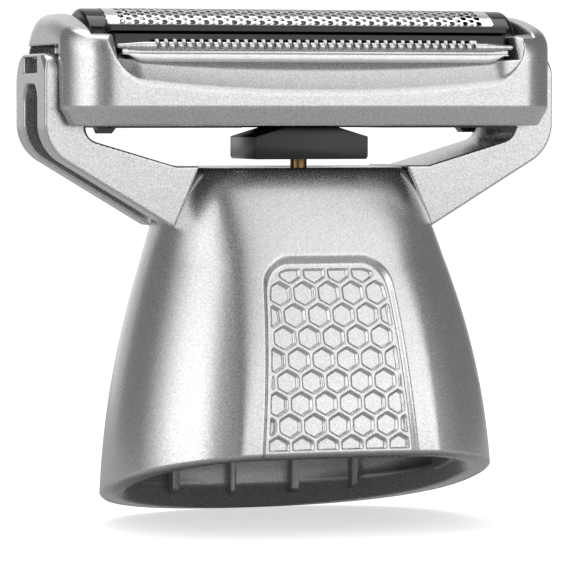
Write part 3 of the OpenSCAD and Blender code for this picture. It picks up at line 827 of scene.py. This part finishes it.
    def clip_distance(self, x: np.ndarray, y: np.ndarray, z: np.ndarray) -> np.ndarray:
        """Return the distance to the ribs and clip lugs inside the socket."""
        half, middle, depth = self.section(z, 0.0, 0.0)
        n = self.power(z)
        reach = (np.abs(x / half) ** n + np.abs((y - middle) / depth) ** n) ** (1 / n)
        skin = (reach - 1) * np.minimum(half, depth)
        low = self.rim_z(y) + self.clip_foot
        shape = np.full(x.shape, 9.0)
        for centre, width, thick in self.ribs:
            rib = soft_max(np.abs(x - centre) - width / 2, -skin - thick, 0.2)
            shape = np.minimum(shape, soft_max(rib, middle - y, 0.2))
        lug = soft_max(np.abs(np.abs(x) - self.lug_x) - self.lug_half, -skin - self.lug_reach, 0.4)
        lug = soft_max(lug, np.maximum(y - self.lug_back, z - low - self.lug_h), 0.4)
        shape = np.minimum(shape, lug)
        nub = np.hypot(x - self.nub_x, z - low + 0.2) - self.nub_r
        nub = soft_max(nub, -skin - 3.0, 0.2)
        shape = np.minimum(shape, np.maximum(nub, y - middle))
        shape = soft_max(shape, skin + self.wall * 0.6, 0.1)
        return soft_max(soft_max(shape, low - z, 0.25), z - self.clip_top, 0.2)

    def clips(self) -> bpy.types.Object:
        """Build the ribs and clip lugs that hold the handle."""
        # the ribs and lugs take the darker inside paint: painted shade
        return carve("socket_clips", self.clip_distance,
                     (-self.rim_half, -self.rim_depth - 1, 0.5),
                     (self.rim_half, self.rim_depth, self.clip_top + 0.5), self.clip_cell,
                     Finish.SILVER_INSIDE)

    def build(self) -> bpy.types.Object:
        """Build the housing with its clips."""
        shell, clips = self.shell(), self.clips()
        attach(clips, "base")
        return adopt(shell, "base", "silver_abs", "base_housing")


# ---------------------------------------------------------------- yoke


@dataclass
class Yoke:
    """Two cranked arms with a channel in their outer faces, in millimetres."""

    half_w: float = 27.25
    arm_t: float = 4.2
    front: float = -3.2
    back: float = 9.2
    elbow_r: float = 4.5
    rise: float = 30.9
    root_x: float = 9.95
    root_lean: float = 0.425
    root_gap: float = 1.2  # from the foot's own line to the seam that shows
    foot_h: float = 6.6  # height of the foot on the housing's side
    foot_out: float = 0.55
    inner_start: float = 3.65  # where the arm's upper edge leaves the deck, beyond the root
    inner_rise: float = 2.8
    inner_r: float = 1.2
    back_r: float = 3.2
    front_chamfer: float = 1.1
    channel_half: float = 2.75
    channel_t: float = 1.6
    channel_drop: float = 3.1
    channel_end_r: float = 1.7
    pocket_half: float = 0.8
    cell: float = 0.17

    def __post_init__(self) -> None:
        """Take the heights from the frame."""
        self.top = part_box("right_arm")[1].z / MM
        self.deck_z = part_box("base_housing")[1].z / MM
        pin_low, pin_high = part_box("right_pivot_pin")
        self.pivot_y = (pin_low.y + pin_high.y) / 2 / MM
        self.pivot_z = (pin_low.z + pin_high.z) / 2 / MM

    def outer_face(self, x: np.ndarray, z: np.ndarray) -> np.ndarray:
        """Return the distance beyond the arm's outer face, elbow and underside."""
        sine, cosine = math.sin(math.radians(self.rise)), math.cos(math.radians(self.rise))
        centre_x = self.half_w - self.elbow_r
        junction_x = self.root_x + self.root_lean * self.foot_h + self.foot_out
        junction_z = self.deck_z - self.foot_h
        centre_z = junction_z + (self.elbow_r + sine * (centre_x - junction_x)) / cosine
        px, pz = x - centre_x, z - centre_z
        flat = np.maximum(px, px * sine - pz * cosine)
        in_elbow = (pz < 0) & (px * cosine + pz * sine > 0)
        return np.where(in_elbow, np.hypot(px, pz), flat) - self.elbow_r

    def distance(self, x: np.ndarray, y: np.ndarray, z: np.ndarray) -> np.ndarray:
        """Return the distance to the right arm's surface."""
        outer = self.outer_face(x, z)
        inner_x = self.half_w - self.arm_t
        rise_x = self.root_x + self.inner_start
        tilt = math.atan2(self.inner_rise, inner_x - rise_x)
        edge = (z - self.deck_z) * math.cos(tilt) - (x - rise_x) * math.sin(tilt)
        inner = np.minimum(soft_min(inner_x - x, edge, self.inner_r), z - self.deck_z)
        arm = soft_max(outer, inner, 0.5)
        line = self.root_x + self.root_gap + self.root_lean * (self.deck_z - z)
        arm = soft_max(arm, (line - x) / math.hypot(1, self.root_lean), 0.2)
        deep = np.maximum(y - self.back, self.front - y)
        arm = soft_max(arm, deep, 0.22)
        crown = np.hypot(np.maximum(y - self.back + self.back_r, 0),
                         np.maximum(z - self.top + self.back_r, 0)) - self.back_r
        arm = soft_max(arm, crown, 0.4)
        arm = soft_max(arm, (z - self.top + self.front - y + self.front_chamfer) * 0.707, 0.8)
        across = y - self.pivot_y
        channel_top = self.top - self.channel_drop
        channel = round_box(across, np.maximum(0, z - channel_top + 3), self.channel_half, 3, 0.3)
        crown_end = round_box(across, z - channel_top + 6, self.channel_half, 6,
                              self.channel_end_r)
        channel = np.where(z > channel_top - 3, crown_end, channel)
        arm = soft_max(arm, -np.maximum(channel, -outer - self.channel_t), 0.22)
        pocket = round_box(across, z - self.pivot_z + 0.15, self.channel_half,
                           self.pocket_half, 0.15)
        return soft_max(arm, -np.maximum(pocket, -outer - self.channel_t), 0.15)

    def build(self) -> List[bpy.types.Object]:
        """Build both arms."""
        pieces = []
        for side, sign in (("left", -1), ("right", 1)):
            low = [self.root_x, self.front, self.deck_z - 8.5]
            high = [self.half_w, self.back, self.top]
            if sign < 0:
                low[0], high[0] = -self.half_w, -self.root_x
            arm = carve(f"{side}_yoke_arm", lambda x, y, z: self.distance(sign * x, y, z),
                        low, high, self.cell, Finish.SILVER)
            pieces.append(adopt(arm, "base", "silver_abs", f"{side}_arm"))
        return pieces


# ---------------------------------------------------------------- head


@dataclass
class HeadCover:
    """Silver head cover: chamfered box with a scooped front, arched ends and an open middle."""

    half_w: float = 26.0
    front: float = -9.2
    back: float = 11.4
    corner_r: float = 5.2
    corner_back_r: float = 2.6
    back_r: float = 6.4
    ridge: float = 8.55
    band_h: float = 1.8
    band_in: float = 1.0
    cave_x: float = 21.3
    cave_front: float = -6.25
    cave_back: float = 9.9
    shelf: float = 6.75
    step: float = 9.2
    cap_x: float = 23.4
    scoop_edge: float = 3.4
    scoop_lean: float = 35.0
    hollow: float = 0.03
    hollow_h: float = 3.0
    cap_back: float = 8.3
    notch_x: float = 22.8
    notch_half: float = 6.55
    notch_above: float = 0.85
    swing: float = 6.0  # degrees of tilt that the notch leaves room for
    well_x: float = 7.6
    well_y: float = -5.5
    well_half: float = 1.7
    well_h: float = 2.3
    form_r: float = 2.0
    cell: float = 0.21

    def __post_init__(self) -> None:
        """Take the heights from the frame."""
        low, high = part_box("head_cover")
        self.low, self.high = low.z / MM, high.z / MM
        self.arm_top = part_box("right_arm")[1].z / MM
        pin_low, pin_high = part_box("right_pivot_pin")
        self.pivot_y = (pin_low.y + pin_high.y) / 2 / MM
        self.pivot_z = (pin_low.z + pin_high.z) / 2 / MM

    def body(self, x: np.ndarray, y: np.ndarray, z: np.ndarray) -> np.ndarray:
        """Return the distance to the closed outer form."""
        middle, half_d = (self.front + self.back) / 2, (self.back - self.front) / 2
        corner = self.corner_r + (self.corner_back_r - self.corner_r) * smooth(-3.0, 5.0, y)
        plan = round_box(x, y - middle, self.half_w, half_d, corner)
        crest = self.back - self.back_r
        run, drop = crest - self.front, self.high - self.low - self.ridge
        arch_r = (run ** 2 + drop ** 2) / (2 * drop)
        arch = np.hypot(y - crest, z - self.high + arch_r) - arch_r
        rear = np.hypot(np.maximum(y - crest, 0),
                        np.maximum(z - self.high + self.back_r, 0)) - self.back_r
        form = soft_max(plan, soft_max(arch, rear, 0.3), self.form_r)
        lean = self.band_in / self.band_h
        band = (plan + (self.low + self.band_h - z) * lean) / math.hypot(1, lean)
        return soft_max(soft_max(form, band, 0.14), self.low - z, 0.25)

    def lift(self, x: np.ndarray) -> np.ndarray:
        """Return how far the scoop has climbed at x, towards the two ends."""
        return 0.9 * (x / 17.7) ** 2.2 + 0.22 * np.maximum(x - 18.5, 0) ** 2

    def distance(self, x: np.ndarray, y: np.ndarray, z: np.ndarray) -> np.ndarray:
        """Return the distance to the cover's surface."""
        x = np.abs(x)
        cover = self.body(x, y, z)
        cave = np.maximum(np.maximum(x - self.cave_x, self.cave_front - y), y - self.cave_back)
        cover = soft_max(cover, -cave, 0.25)
        lean = math.radians(self.scoop_lean)
        climb = z - self.lift(x) - self.low - self.scoop_edge
        up_scoop = np.clip(climb, 0, self.hollow_h)
        hollow = self.hollow * up_scoop * (self.hollow_h - up_scoop)
        scoop = (self.front + climb * math.tan(lean) + hollow - y) * math.cos(lean)
        cover = soft_max(cover, scoop, 0.22)
        window = np.maximum(np.maximum(x - self.cave_x, self.low + self.shelf - z),
                            y - self.cave_front - 1)
        cover = soft_max(cover, -window, 0.25)
        cap = np.maximum(np.maximum(x - self.cap_x, self.low + self.step - z),
                         y - self.cap_back)
        cover = soft_max(cover, -cap, 0.4)
        tilt = math.tan(math.radians(self.swing))
        reach = self.notch_half + np.maximum(self.pivot_z - z, 0) * tilt
        notch = np.maximum(np.maximum(self.notch_x - x, np.abs(y - self.pivot_y) - reach),
                           z - self.arm_top - self.notch_above)
        cover = soft_max(cover, -notch, 0.15)
        well = np.maximum(np.maximum(x - self.well_x, np.abs(y - self.well_y) - self.well_half),
                          z - self.low - self.well_h)
        return soft_max(cover, -well, 0.1)

    def build(self) -> bpy.types.Object:
        """Build the cover."""
        piece = carve("scooped_head_cover", self.distance,
                      (-self.half_w, self.front, self.low), (self.half_w, self.back, self.high),
                      self.cell, Finish.SILVER)
        return adopt(piece, "head", "silver_abs", "head_cover")


@dataclass
class FoilCassette:
    """Arched foil with its net of holes, in a glossy black carrier."""

    centre_y: float = 1.0
    radius: float = 6.2
    half_l: float = 20.7
    thick: float = 0.1
    pitch: float = 0.85
    hole: float = 0.63
    edge_angle: float = 43.0
    margin_l: float = 1.35
    margin_s: float = 0.35
    rail_front: float = 7.15
    rail_back: float = 4.6
    rail_top: float = 3.62
    rail_low: float = -0.6
    rail_x: float = 20.9
    clamp_front: float = 6.62
    clamp_back: float = 4.5
    clamp_top: float = 4.66
    clamp_low: float = 3.6
    clamp_x: float = 21.2
    groove_half: float = 0.07
    cap_x: float = 22.9
    cap_start: float = 19.9
    cap_low: float = 3.1
    cap_r: float = 0.5
    cell: float = 0.17

    def __post_init__(self) -> None:
        """Take the top of the arch from the frame."""
        self.centre_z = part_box("foil_sheet")[1].z / MM - self.radius

    def hole_centres(self, half_s: float) -> List[Tuple[float, float]]:
        """Return the holes' places, along the foil and round its arch."""
        row, column = self.pitch / 2, self.pitch * math.sqrt(3) / 2
        rows = int((half_s - self.margin_s) / row)
        columns = int((self.half_l - self.margin_l) / column)
        return [(i * column, j * row) for j in range(-rows, rows + 1)
                for i in range(-columns, columns + 1) if (i + j) % 2 == 0]

    def sheet(self) -> bpy.types.Object:
        """Build the foil as a thin arched sheet with hexagonal holes."""
        half_s = self.radius * math.radians(90 - self.edge_angle + 8)
        corners: List[Vector] = []
        rings: List[List[int]] = []
        steps_s, steps_l = 24, 60
        border = ([(self.half_l * (2 * i / steps_l - 1), -half_s) for i in range(steps_l)]
                  + [(self.half_l, half_s * (2 * i / steps_s - 1)) for i in range(steps_s)]
                  + [(self.half_l * (1 - 2 * i / steps_l), half_s) for i in range(steps_l)]
                  + [(-self.half_l, half_s * (1 - 2 * i / steps_s)) for i in range(steps_s)])
        corners += [Vector(p) for p in border]
        rings.append(list(range(len(border))))
        reach = self.hole / 2
        for u, v in self.hole_centres(half_s):
            start = len(corners)
            for k in range(12):
                turn = math.radians(30 * k)
                # between a circle and a hexagon, as etched and plated holes come out
                flat = reach / max(abs(math.cos(turn - math.radians(60) * round(k / 2 - 0.25))), 0.9)
                corners.append(Vector((u + flat * math.cos(turn), v + flat * math.sin(turn))))
            rings.append(list(range(start, start + 12)))
        flat_net = delaunay_2d_cdt(corners, [], rings, 0, 1e-6)
        points, faces, origins = flat_net[0], flat_net[2], flat_net[5]
        kept = [face for face, origin in zip(faces, origins) if origin == [0] or set(origin) == {0}]
        outer, inner = [], []
        for point in points:
            turn = point.y / self.radius
            for shell, r in ((outer, self.radius), (inner, self.radius - self.thick)):
                shell.append((point.x, self.centre_y + r * math.sin(turn),
                              self.centre_z + r * math.cos(turn)))
        n = len(points)
        sides: List[List[int]] = [list(f) for f in kept] + [[n + i for i in f[::-1]] for f in kept]
        edge_use: Dict[Tuple[int, int], Tuple[int, int]] = {}
        for face in kept:
            for a, b in zip(face, list(face[1:]) + [face[0]]):
                key = (min(a, b), max(a, b))
                edge_use[key] = (0, 0) if key in edge_use else (a, b)
        sides += [[b, a, a + n, b + n] for a, b in edge_use.values() if a != b]
        piece = place_mesh("perforated_foil", np.array(outer + inner), sides, Finish.FOIL)
        return adopt(shade_by_angle(recalc_outside(piece), 40), "head", "nickel_foil", "foil_sheet")

    def carrier_distance(self, x: np.ndarray, y: np.ndarray, z: np.ndarray) -> np.ndarray:
        """Return the distance to the black carrier's surface."""
        x = np.abs(x)
        side = np.abs(y - self.centre_y)
        up = z - self.centre_z
        upper = soft_max(np.maximum(side - self.clamp_front, self.clamp_back - side),
                         up - self.clamp_top + 0.12 * (side - self.clamp_back), 0.2)
        upper = soft_max(upper, np.maximum(self.clamp_low - up, x - self.clamp_x), 0.15)
        lower = soft_max(np.maximum(side - self.rail_front + 0.04, self.rail_back - side),
                         up - self.rail_top + 0.2 * (side - 6.2), 0.16)
        lower = soft_max(lower, np.maximum(self.rail_low - up, x - self.rail_x), 0.15)
        groove = np.maximum(np.abs(up - self.rail_top) - self.groove_half, 6.3 - side)
        rail = soft_max(np.minimum(upper, lower), -groove, 0.06)
        arch = np.hypot(side, up)
        cap = soft_max(arch - self.radius + 0.05, x - self.cap_x, self.cap_r)
        cap = soft_max(cap, np.maximum(self.cap_low - up, self.cap_start - x), 0.15)
        whole = soft_min(rail, cap, 0.05)
        seat = np.maximum(arch - self.radius - 0.03, x - self.half_l - 0.05)
        return soft_max(whole, -seat, 0.05)

    def carrier(self) -> bpy.types.Object:
        """Build the carrier."""
        piece = carve("foil_carrier", self.carrier_distance,
                      (-self.cap_x, self.centre_y - self.rail_front, self.centre_z - 0.6),
                      (self.cap_x, self.centre_y + self.rail_front, self.centre_z + 6.4),
                      self.cell, Finish.GLOSS_BLACK)
        return adopt(piece, "head", "black_gloss", "foil_frame")

    def build(self) -> List[bpy.types.Object]:
        """Build the foil and its carrier."""
        return [self.sheet(), self.carrier()]


@dataclass
class Trimmer:
    """Long-hair trimmer: rounded comb, toothed blade behind it and a skin bar below, painted lighter as a
    highlight.
    """

    pitch: float = 0.93
    slots: int = 37
    slot: float = 0.4
    bar_r: float = 0.43
    tip_h: float = 0.3
    root_h: float = 0.42
    taper_l: float = 3.2
    taper: float = 0.2
    skew: float = 0.14
    blade_slot: float = 0.5
    blade_phase: float = 0.3  # share of a pitch between the blade's slots and the comb's
    blade_root: float = 0.6
    end_drop: float = 0.62  # how much lower the blade is past its last tooth
    bar_drop: float = 0.34  # how far the skin bar reaches below its plain solid
    bar_taper: float = 0.9
    cell: float = 0.075
    bar_cell: float = 0.11

    def __post_init__(self) -> None:
        """Take the comb's and the skin bar's places from the frame."""
        low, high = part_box("trimmer_comb")
        self.half_l = high.x / MM
        self.low, self.high = low.z / MM, high.z / MM
        self.front, self.back = low.y / MM, high.y / MM
        blade_low, blade_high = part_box("trimmer_blade")
        self.blade_y = (blade_low.y / MM, blade_high.y / MM)
        self.blade_half = blade_high.x / MM
        bar_low, bar_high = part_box("trimmer_ledge")
        self.ledge = (bar_low.z / MM, bar_high.z / MM)
        self.ledge_back = bar_high.y / MM

    def teeth(self, x: np.ndarray, z: np.ndarray, slot: float) -> np.ndarray:
        """Return the distance into the nearest slot between two teeth, negative inside it."""
        along = x / self.pitch + self.skew * (z - self.low)
        near = np.clip(np.round(along), -(self.slots // 2), self.slots // 2)
        return np.abs(along - near) * self.pitch - slot / 2

    def comb_distance(self, x: np.ndarray, y: np.ndarray, z: np.ndarray) -> np.ndarray:
        """Return the distance to the fixed comb's surface."""
        top = self.high - self.tip_h
        shrink = self.taper * smooth(self.half_l - self.taper_l, self.half_l, np.abs(x))
        centre_y = self.front + self.bar_r + 0.05
        bar = round_box(y - centre_y - 0.12, z - top + self.bar_r, self.bar_r + 0.12 - shrink,
                        self.bar_r - shrink, self.bar_r - 0.02 - shrink)
        bar = soft_max(bar, np.abs(x) - self.half_l, 0.3)
        slot = soft_max(self.teeth(x, z, self.slot), self.low + self.root_h - z, 0.1)
        bar = soft_max(bar, -slot, 0.09)
        root = round_box(y - (centre_y + self.back) / 2, z - self.low - 0.24,
                         (self.back - centre_y) / 2, 0.24, 0.06)
        return soft_min(bar, np.maximum(root, np.abs(x) - self.half_l + 0.6), 0.06)

    def blade_distance(self, x: np.ndarray, y: np.ndarray, z: np.ndarray) -> np.ndarray:
        """Return the distance to the moving blade's surface."""
        low, high = self.blade_y
        plate = round_box(y - (low + high) / 2, z - (self.low + self.high) / 2 - 0.03,
                          (high - low) / 2, (self.high - self.low) / 2 - 0.03, 0.06)
        slot = soft_max(self.teeth(x + self.blade_phase * self.pitch, z, self.blade_slot),
                        self.low + self.blade_root - z, 0.08)
        plate = soft_max(plate, -slot, 0.08)
        short = self.end_drop * smooth(0, 0.2, np.abs(x) - self.pitch * (self.slots // 2 + 0.6))
        return np.maximum(np.maximum(plate, z - self.high + short), np.abs(x) - self.blade_half)

    def ledge_distance(self, x: np.ndarray, y: np.ndarray, z: np.ndarray) -> np.ndarray:
        """Return the distance to the skin bar's surface."""
        low, high = self.ledge[0] - self.bar_drop, self.ledge[1]
        rise = self.bar_taper * smooth(self.half_l - 3.4, self.half_l - 0.3, np.abs(x)) ** 1.5
        tall = np.maximum((high - low) / 2 - rise / 2, 0.08)
        bar = round_box(y - (self.front + self.ledge_back) / 2, z - high + tall,
                        (self.ledge_back - self.front) / 2 - 0.12, tall, 0.07)
        crown = np.hypot(y - self.front - 0.95, (z - high + tall) * 1.1) - 0.86
        bar = np.where(y < self.front + 0.9, soft_max(bar, crown, 0.12), bar)
        return soft_max(bar, np.abs(x) - self.half_l + 0.5, 0.2)

    def build(self) -> List[bpy.types.Object]:
        """Build the comb, the blade and the skin bar."""
        span = self.half_l
        comb = carve("trimmer_comb_bar", self.comb_distance, (-span, self.front, self.low),
                     (span, self.back, self.high), self.cell, Finish.BLADE)
        blade = carve("trimmer_moving_blade", self.blade_distance,
                      (-self.blade_half, self.blade_y[0], self.low),
                      (self.blade_half, self.blade_y[1], self.high), self.cell, Finish.BLADE)
        ledge = carve("trimmer_skin_bar", self.ledge_distance,
                      (-span, self.front, self.ledge[0] - 0.4),
                      (span, self.ledge_back, self.ledge[1]), self.bar_cell, Finish.SKIN_BAR)
        return [adopt(comb, "head", "blade_steel", "trimmer_comb"),
                adopt(blade, "trimmer", "blade_steel", "trimmer_blade"),
                adopt(ledge, "head", "silver_abs", "trimmer_ledge")]


@dataclass
class DriveBlock:
    """Black driver on the spindle, with its moulding edges broken."""

    edge: float = 0.22

    def build(self) -> bpy.types.Object:
        """Build the driver."""
        piece = refined_copy("drive_block", "drive_crosshead", Finish.ACETAL, self.edge)
        return adopt(piece, "drive", "black_acetal", "drive_block")


# ---------------------------------------------------------------- carried-over pieces


CAD_FINISHES: Dict[Finish, Tuple[str, ...]] = {
    # the arms' channel strips: dark inlay, partly painted shade of the channel
    Finish.INLAY_AND_PAINTED_SHADE: ("left_arm_inlay", "right_arm_inlay"),
    Finish.PLATED: ("arm_screws", "left_pivot_pin", "right_pivot_pin", "chassis_screws",
                    "lever_axle", "trimmer_spring", "cutter_springs"),
    Finish.ACETAL: ("drive_chassis", "drive_lever", "head_frame", "cutter_carrier"),
    Finish.RUBBER: ("spindle_seal",),
    Finish.BRASS: ("drive_spindle",),
    Finish.BLADE: ("cutter_blades",),
}


def dress_cad_nodes() -> None:
    """Give every CAD node that stays its finish."""
    for finish, names in CAD_FINISHES.items():
        for name in names:
            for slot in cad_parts[name].material_slots:
                slot.material = finish.material()
            log.info("%s is %s", name, finish.value.name)


# ---------------------------------------------------------------- studio


@dataclass(frozen=True)
class Softbox:
    """One soft light: compass angle from the front, height angle, size and brightness."""

    name: str
    azimuth: float
    elevation: float
    width: float
    height: float
    radiance: float
    distance: float = 0.9


@dataclass
class Studio:
    """Camera, light tent, lit table and overhead softbox."""

    camera_azimuth: float = -18.0
    camera_distance: float = 0.390
    camera_height: float = 0.04265
    lens_mm: float = 238.9263
    sensor_mm: float = 36.0
    # where the middle of the view lies off the level line to the object's axis, as tangents
    aim_right: float = -0.0025377
    aim_down: float = 0.0462596
    table_half: float = 0.7
    backdrop: float = 1.1
    brightest: float = 2.0

    # panels of the tent: compass angle from the front, positive to the right, and brightness
    panels: Tuple[Tuple[float, float], ...] = (
        (-180, 0.95), (-166, 0.7), (-158, 0.2), (-118, 0.2), (-104, 0.6), (-80, 1.7),
        (-52, 1.9), (-42, 0.4), (-14, 0.12), (-2, 1.1), (18, 1.5), (52, 1.6), (62, 0.35),
        (84, 0.2), (136, 0.2), (152, 0.7), (180, 0.95))
    # brightness of the tent, by the sine of the height angle
    bands: Tuple[Tuple[float, float], ...] = (
        (-1.0, 0.35), (-0.1, 0.85), (0.0, 1.12), (0.45, 0.92), (0.87, 0.78), (0.95, 0.62),
        (1.0, 0.4))
    boxes: Tuple[Softbox, ...] = (Softbox("overhead", 180, 76, 0.75, 0.5, 2.4),)

    def camera(self) -> None:
        """Place the camera."""
        turn = math.radians(self.camera_azimuth)
        ahead = Vector((-math.sin(turn), math.cos(turn), 0))
        right = Vector((math.cos(turn), math.sin(turn), 0))
        data = bpy.data.cameras.new("camera")
        data.sensor_width = self.sensor_mm
        data.lens = self.lens_mm
        data.clip_start = 0.01
        camera = bpy.data.objects.new("camera", data)
        camera.location = -ahead * self.camera_distance + Vector((0, 0, self.camera_height))
        aim = ahead + right * self.aim_right - Vector((0, 0, 1)) * self.aim_down
        camera.rotation_euler = aim.to_track_quat("-Z", "Y").to_euler()
        bpy.context.scene.collection.objects.link(camera)
        bpy.context.scene.camera = camera

    def lights(self) -> None:
        """Hang the softboxes around the object."""
        middle = Vector((0, 0, 0.026))
        for box in self.boxes:
            azimuth, elevation = math.radians(box.azimuth), math.radians(box.elevation)
            toward = Vector((math.sin(azimuth) * math.cos(elevation),
                             -math.cos(azimuth) * math.cos(elevation), math.sin(elevation)))
            data = bpy.data.lights.new(box.name, "AREA")
            data.shape = "RECTANGLE"
            data.size = box.width
            data.size_y = box.height
            data.energy = box.radiance * math.pi * box.width * box.height
            lamp = bpy.data.objects.new(box.name, data)
            lamp.location = middle + toward * box.distance
            lamp.rotation_euler = toward.to_track_quat("Z", "Y").to_euler()
            bpy.context.scene.collection.objects.link(lamp)

    def tent(self) -> None:
        """Surround the object with a light tent: white cloth panels with dark gaps between."""
        world = bpy.data.worlds.new("light_tent")
        bpy.context.scene.world = world
        world.use_nodes = True
        tree = world.node_tree
        tree.nodes.clear()
        way = add_node(tree, "ShaderNodeTexCoord").outputs["Generated"]
        parts = add_node(tree, "ShaderNodeSeparateXYZ", {"Vector": way})
        ahead = add_node(tree, "ShaderNodeMath", {0: parts.outputs["Y"], 1: -1.0},
                         operation="MULTIPLY")
        compass = add_node(tree, "ShaderNodeMath",
                           {0: parts.outputs["X"], 1: ahead.outputs["Value"]},
                           operation="ARCTAN2")
        turn = add_node(tree, "ShaderNodeMapRange",
                        {"Value": compass.outputs["Value"], "From Min": -math.pi,
                         "From Max": math.pi})
        height = add_node(tree, "ShaderNodeMapRange",
                          {"Value": parts.outputs["Z"], "From Min": -1.0, "From Max": 1.0})

        def grey(level: float) -> Rgba:
            """Return a neutral colour of this brightness."""
            return (level, level, level, 1.0)

        panels = ramp(tree, turn.outputs["Result"],
                      [((a + 180) / 360, grey(v / self.brightest)) for a, v in self.panels])
        bands = ramp(tree, height.outputs["Result"],
                     [((e + 1) / 2, grey(v)) for e, v in self.bands])
        both = add_node(tree, "ShaderNodeMix",
                        {"Factor": 1.0, 6: panels.outputs["Color"], 7: bands.outputs["Color"]},
                        data_type="RGBA", blend_type="MULTIPLY")
        cloth = add_node(tree, "ShaderNodeBackground",
                         {"Color": both.outputs[2], "Strength": self.brightest})
        backdrop = add_node(tree, "ShaderNodeBackground",
                            {"Color": (1, 1, 1, 1), "Strength": self.backdrop})
        path = add_node(tree, "ShaderNodeLightPath")
        shown = add_node(tree, "ShaderNodeMixShader",
                         {0: path.outputs["Is Camera Ray"], 1: cloth.outputs["Background"],
                          2: backdrop.outputs["Background"]})
        add_node(tree, "ShaderNodeOutputWorld", {"Surface": shown.outputs["Shader"]})

    def floor(self) -> None:
        """Lay a plain white table, lit from below so that it has no edge at the backdrop."""
        size = self.table_half
        corners = [(-size, -size, 0), (size, -size, 0), (size, size, 0), (-size, size, 0)]
        mesh = bpy.data.meshes.new("floor")
        mesh.from_pydata(corners, [], [(0, 1, 2, 3)])
        material, tree, shader = new_principled("lit_table")
        shader.inputs["Roughness"].default_value = 0.9
        shader.inputs["Emission Color"].default_value = (1, 1, 1, 1)
        # the table shines along the view and only dimly on the object, as a diffusing sheet does
        seen = add_node(tree, "ShaderNodeLightPath").outputs["Is Camera Ray"]
        for socket, on_object, in_view in (("Emission Strength", 0.03, 0.62),
                                           ("Base Color", 0.47, 0.74)):
            level = add_node(tree, "ShaderNodeMapRange",
                             {"Value": seen, "To Min": on_object, "To Max": in_view})
            tree.links.new(level.outputs["Result"], shader.inputs[socket])
        mesh.materials.append(material)
        floor = bpy.data.objects.new("floor", mesh)
        bpy.context.scene.collection.objects.link(floor)

    def build(self) -> None:
        """Set up the whole studio."""
        bpy.context.scene.view_settings.view_transform = "Standard"
        self.camera()
        self.lights()
        self.tent()
        self.floor()


# ---------------------------------------------------------------- assembly


def main() -> None:
    """Build every piece in order."""
    Studio().build()
    dress_cad_nodes()
    SocketHousing().build()
    Yoke().build()
    HeadCover().build()
    FoilCassette().build()
    Trimmer().build()
    DriveBlock().build()


if __name__ == "__main__":
    main()
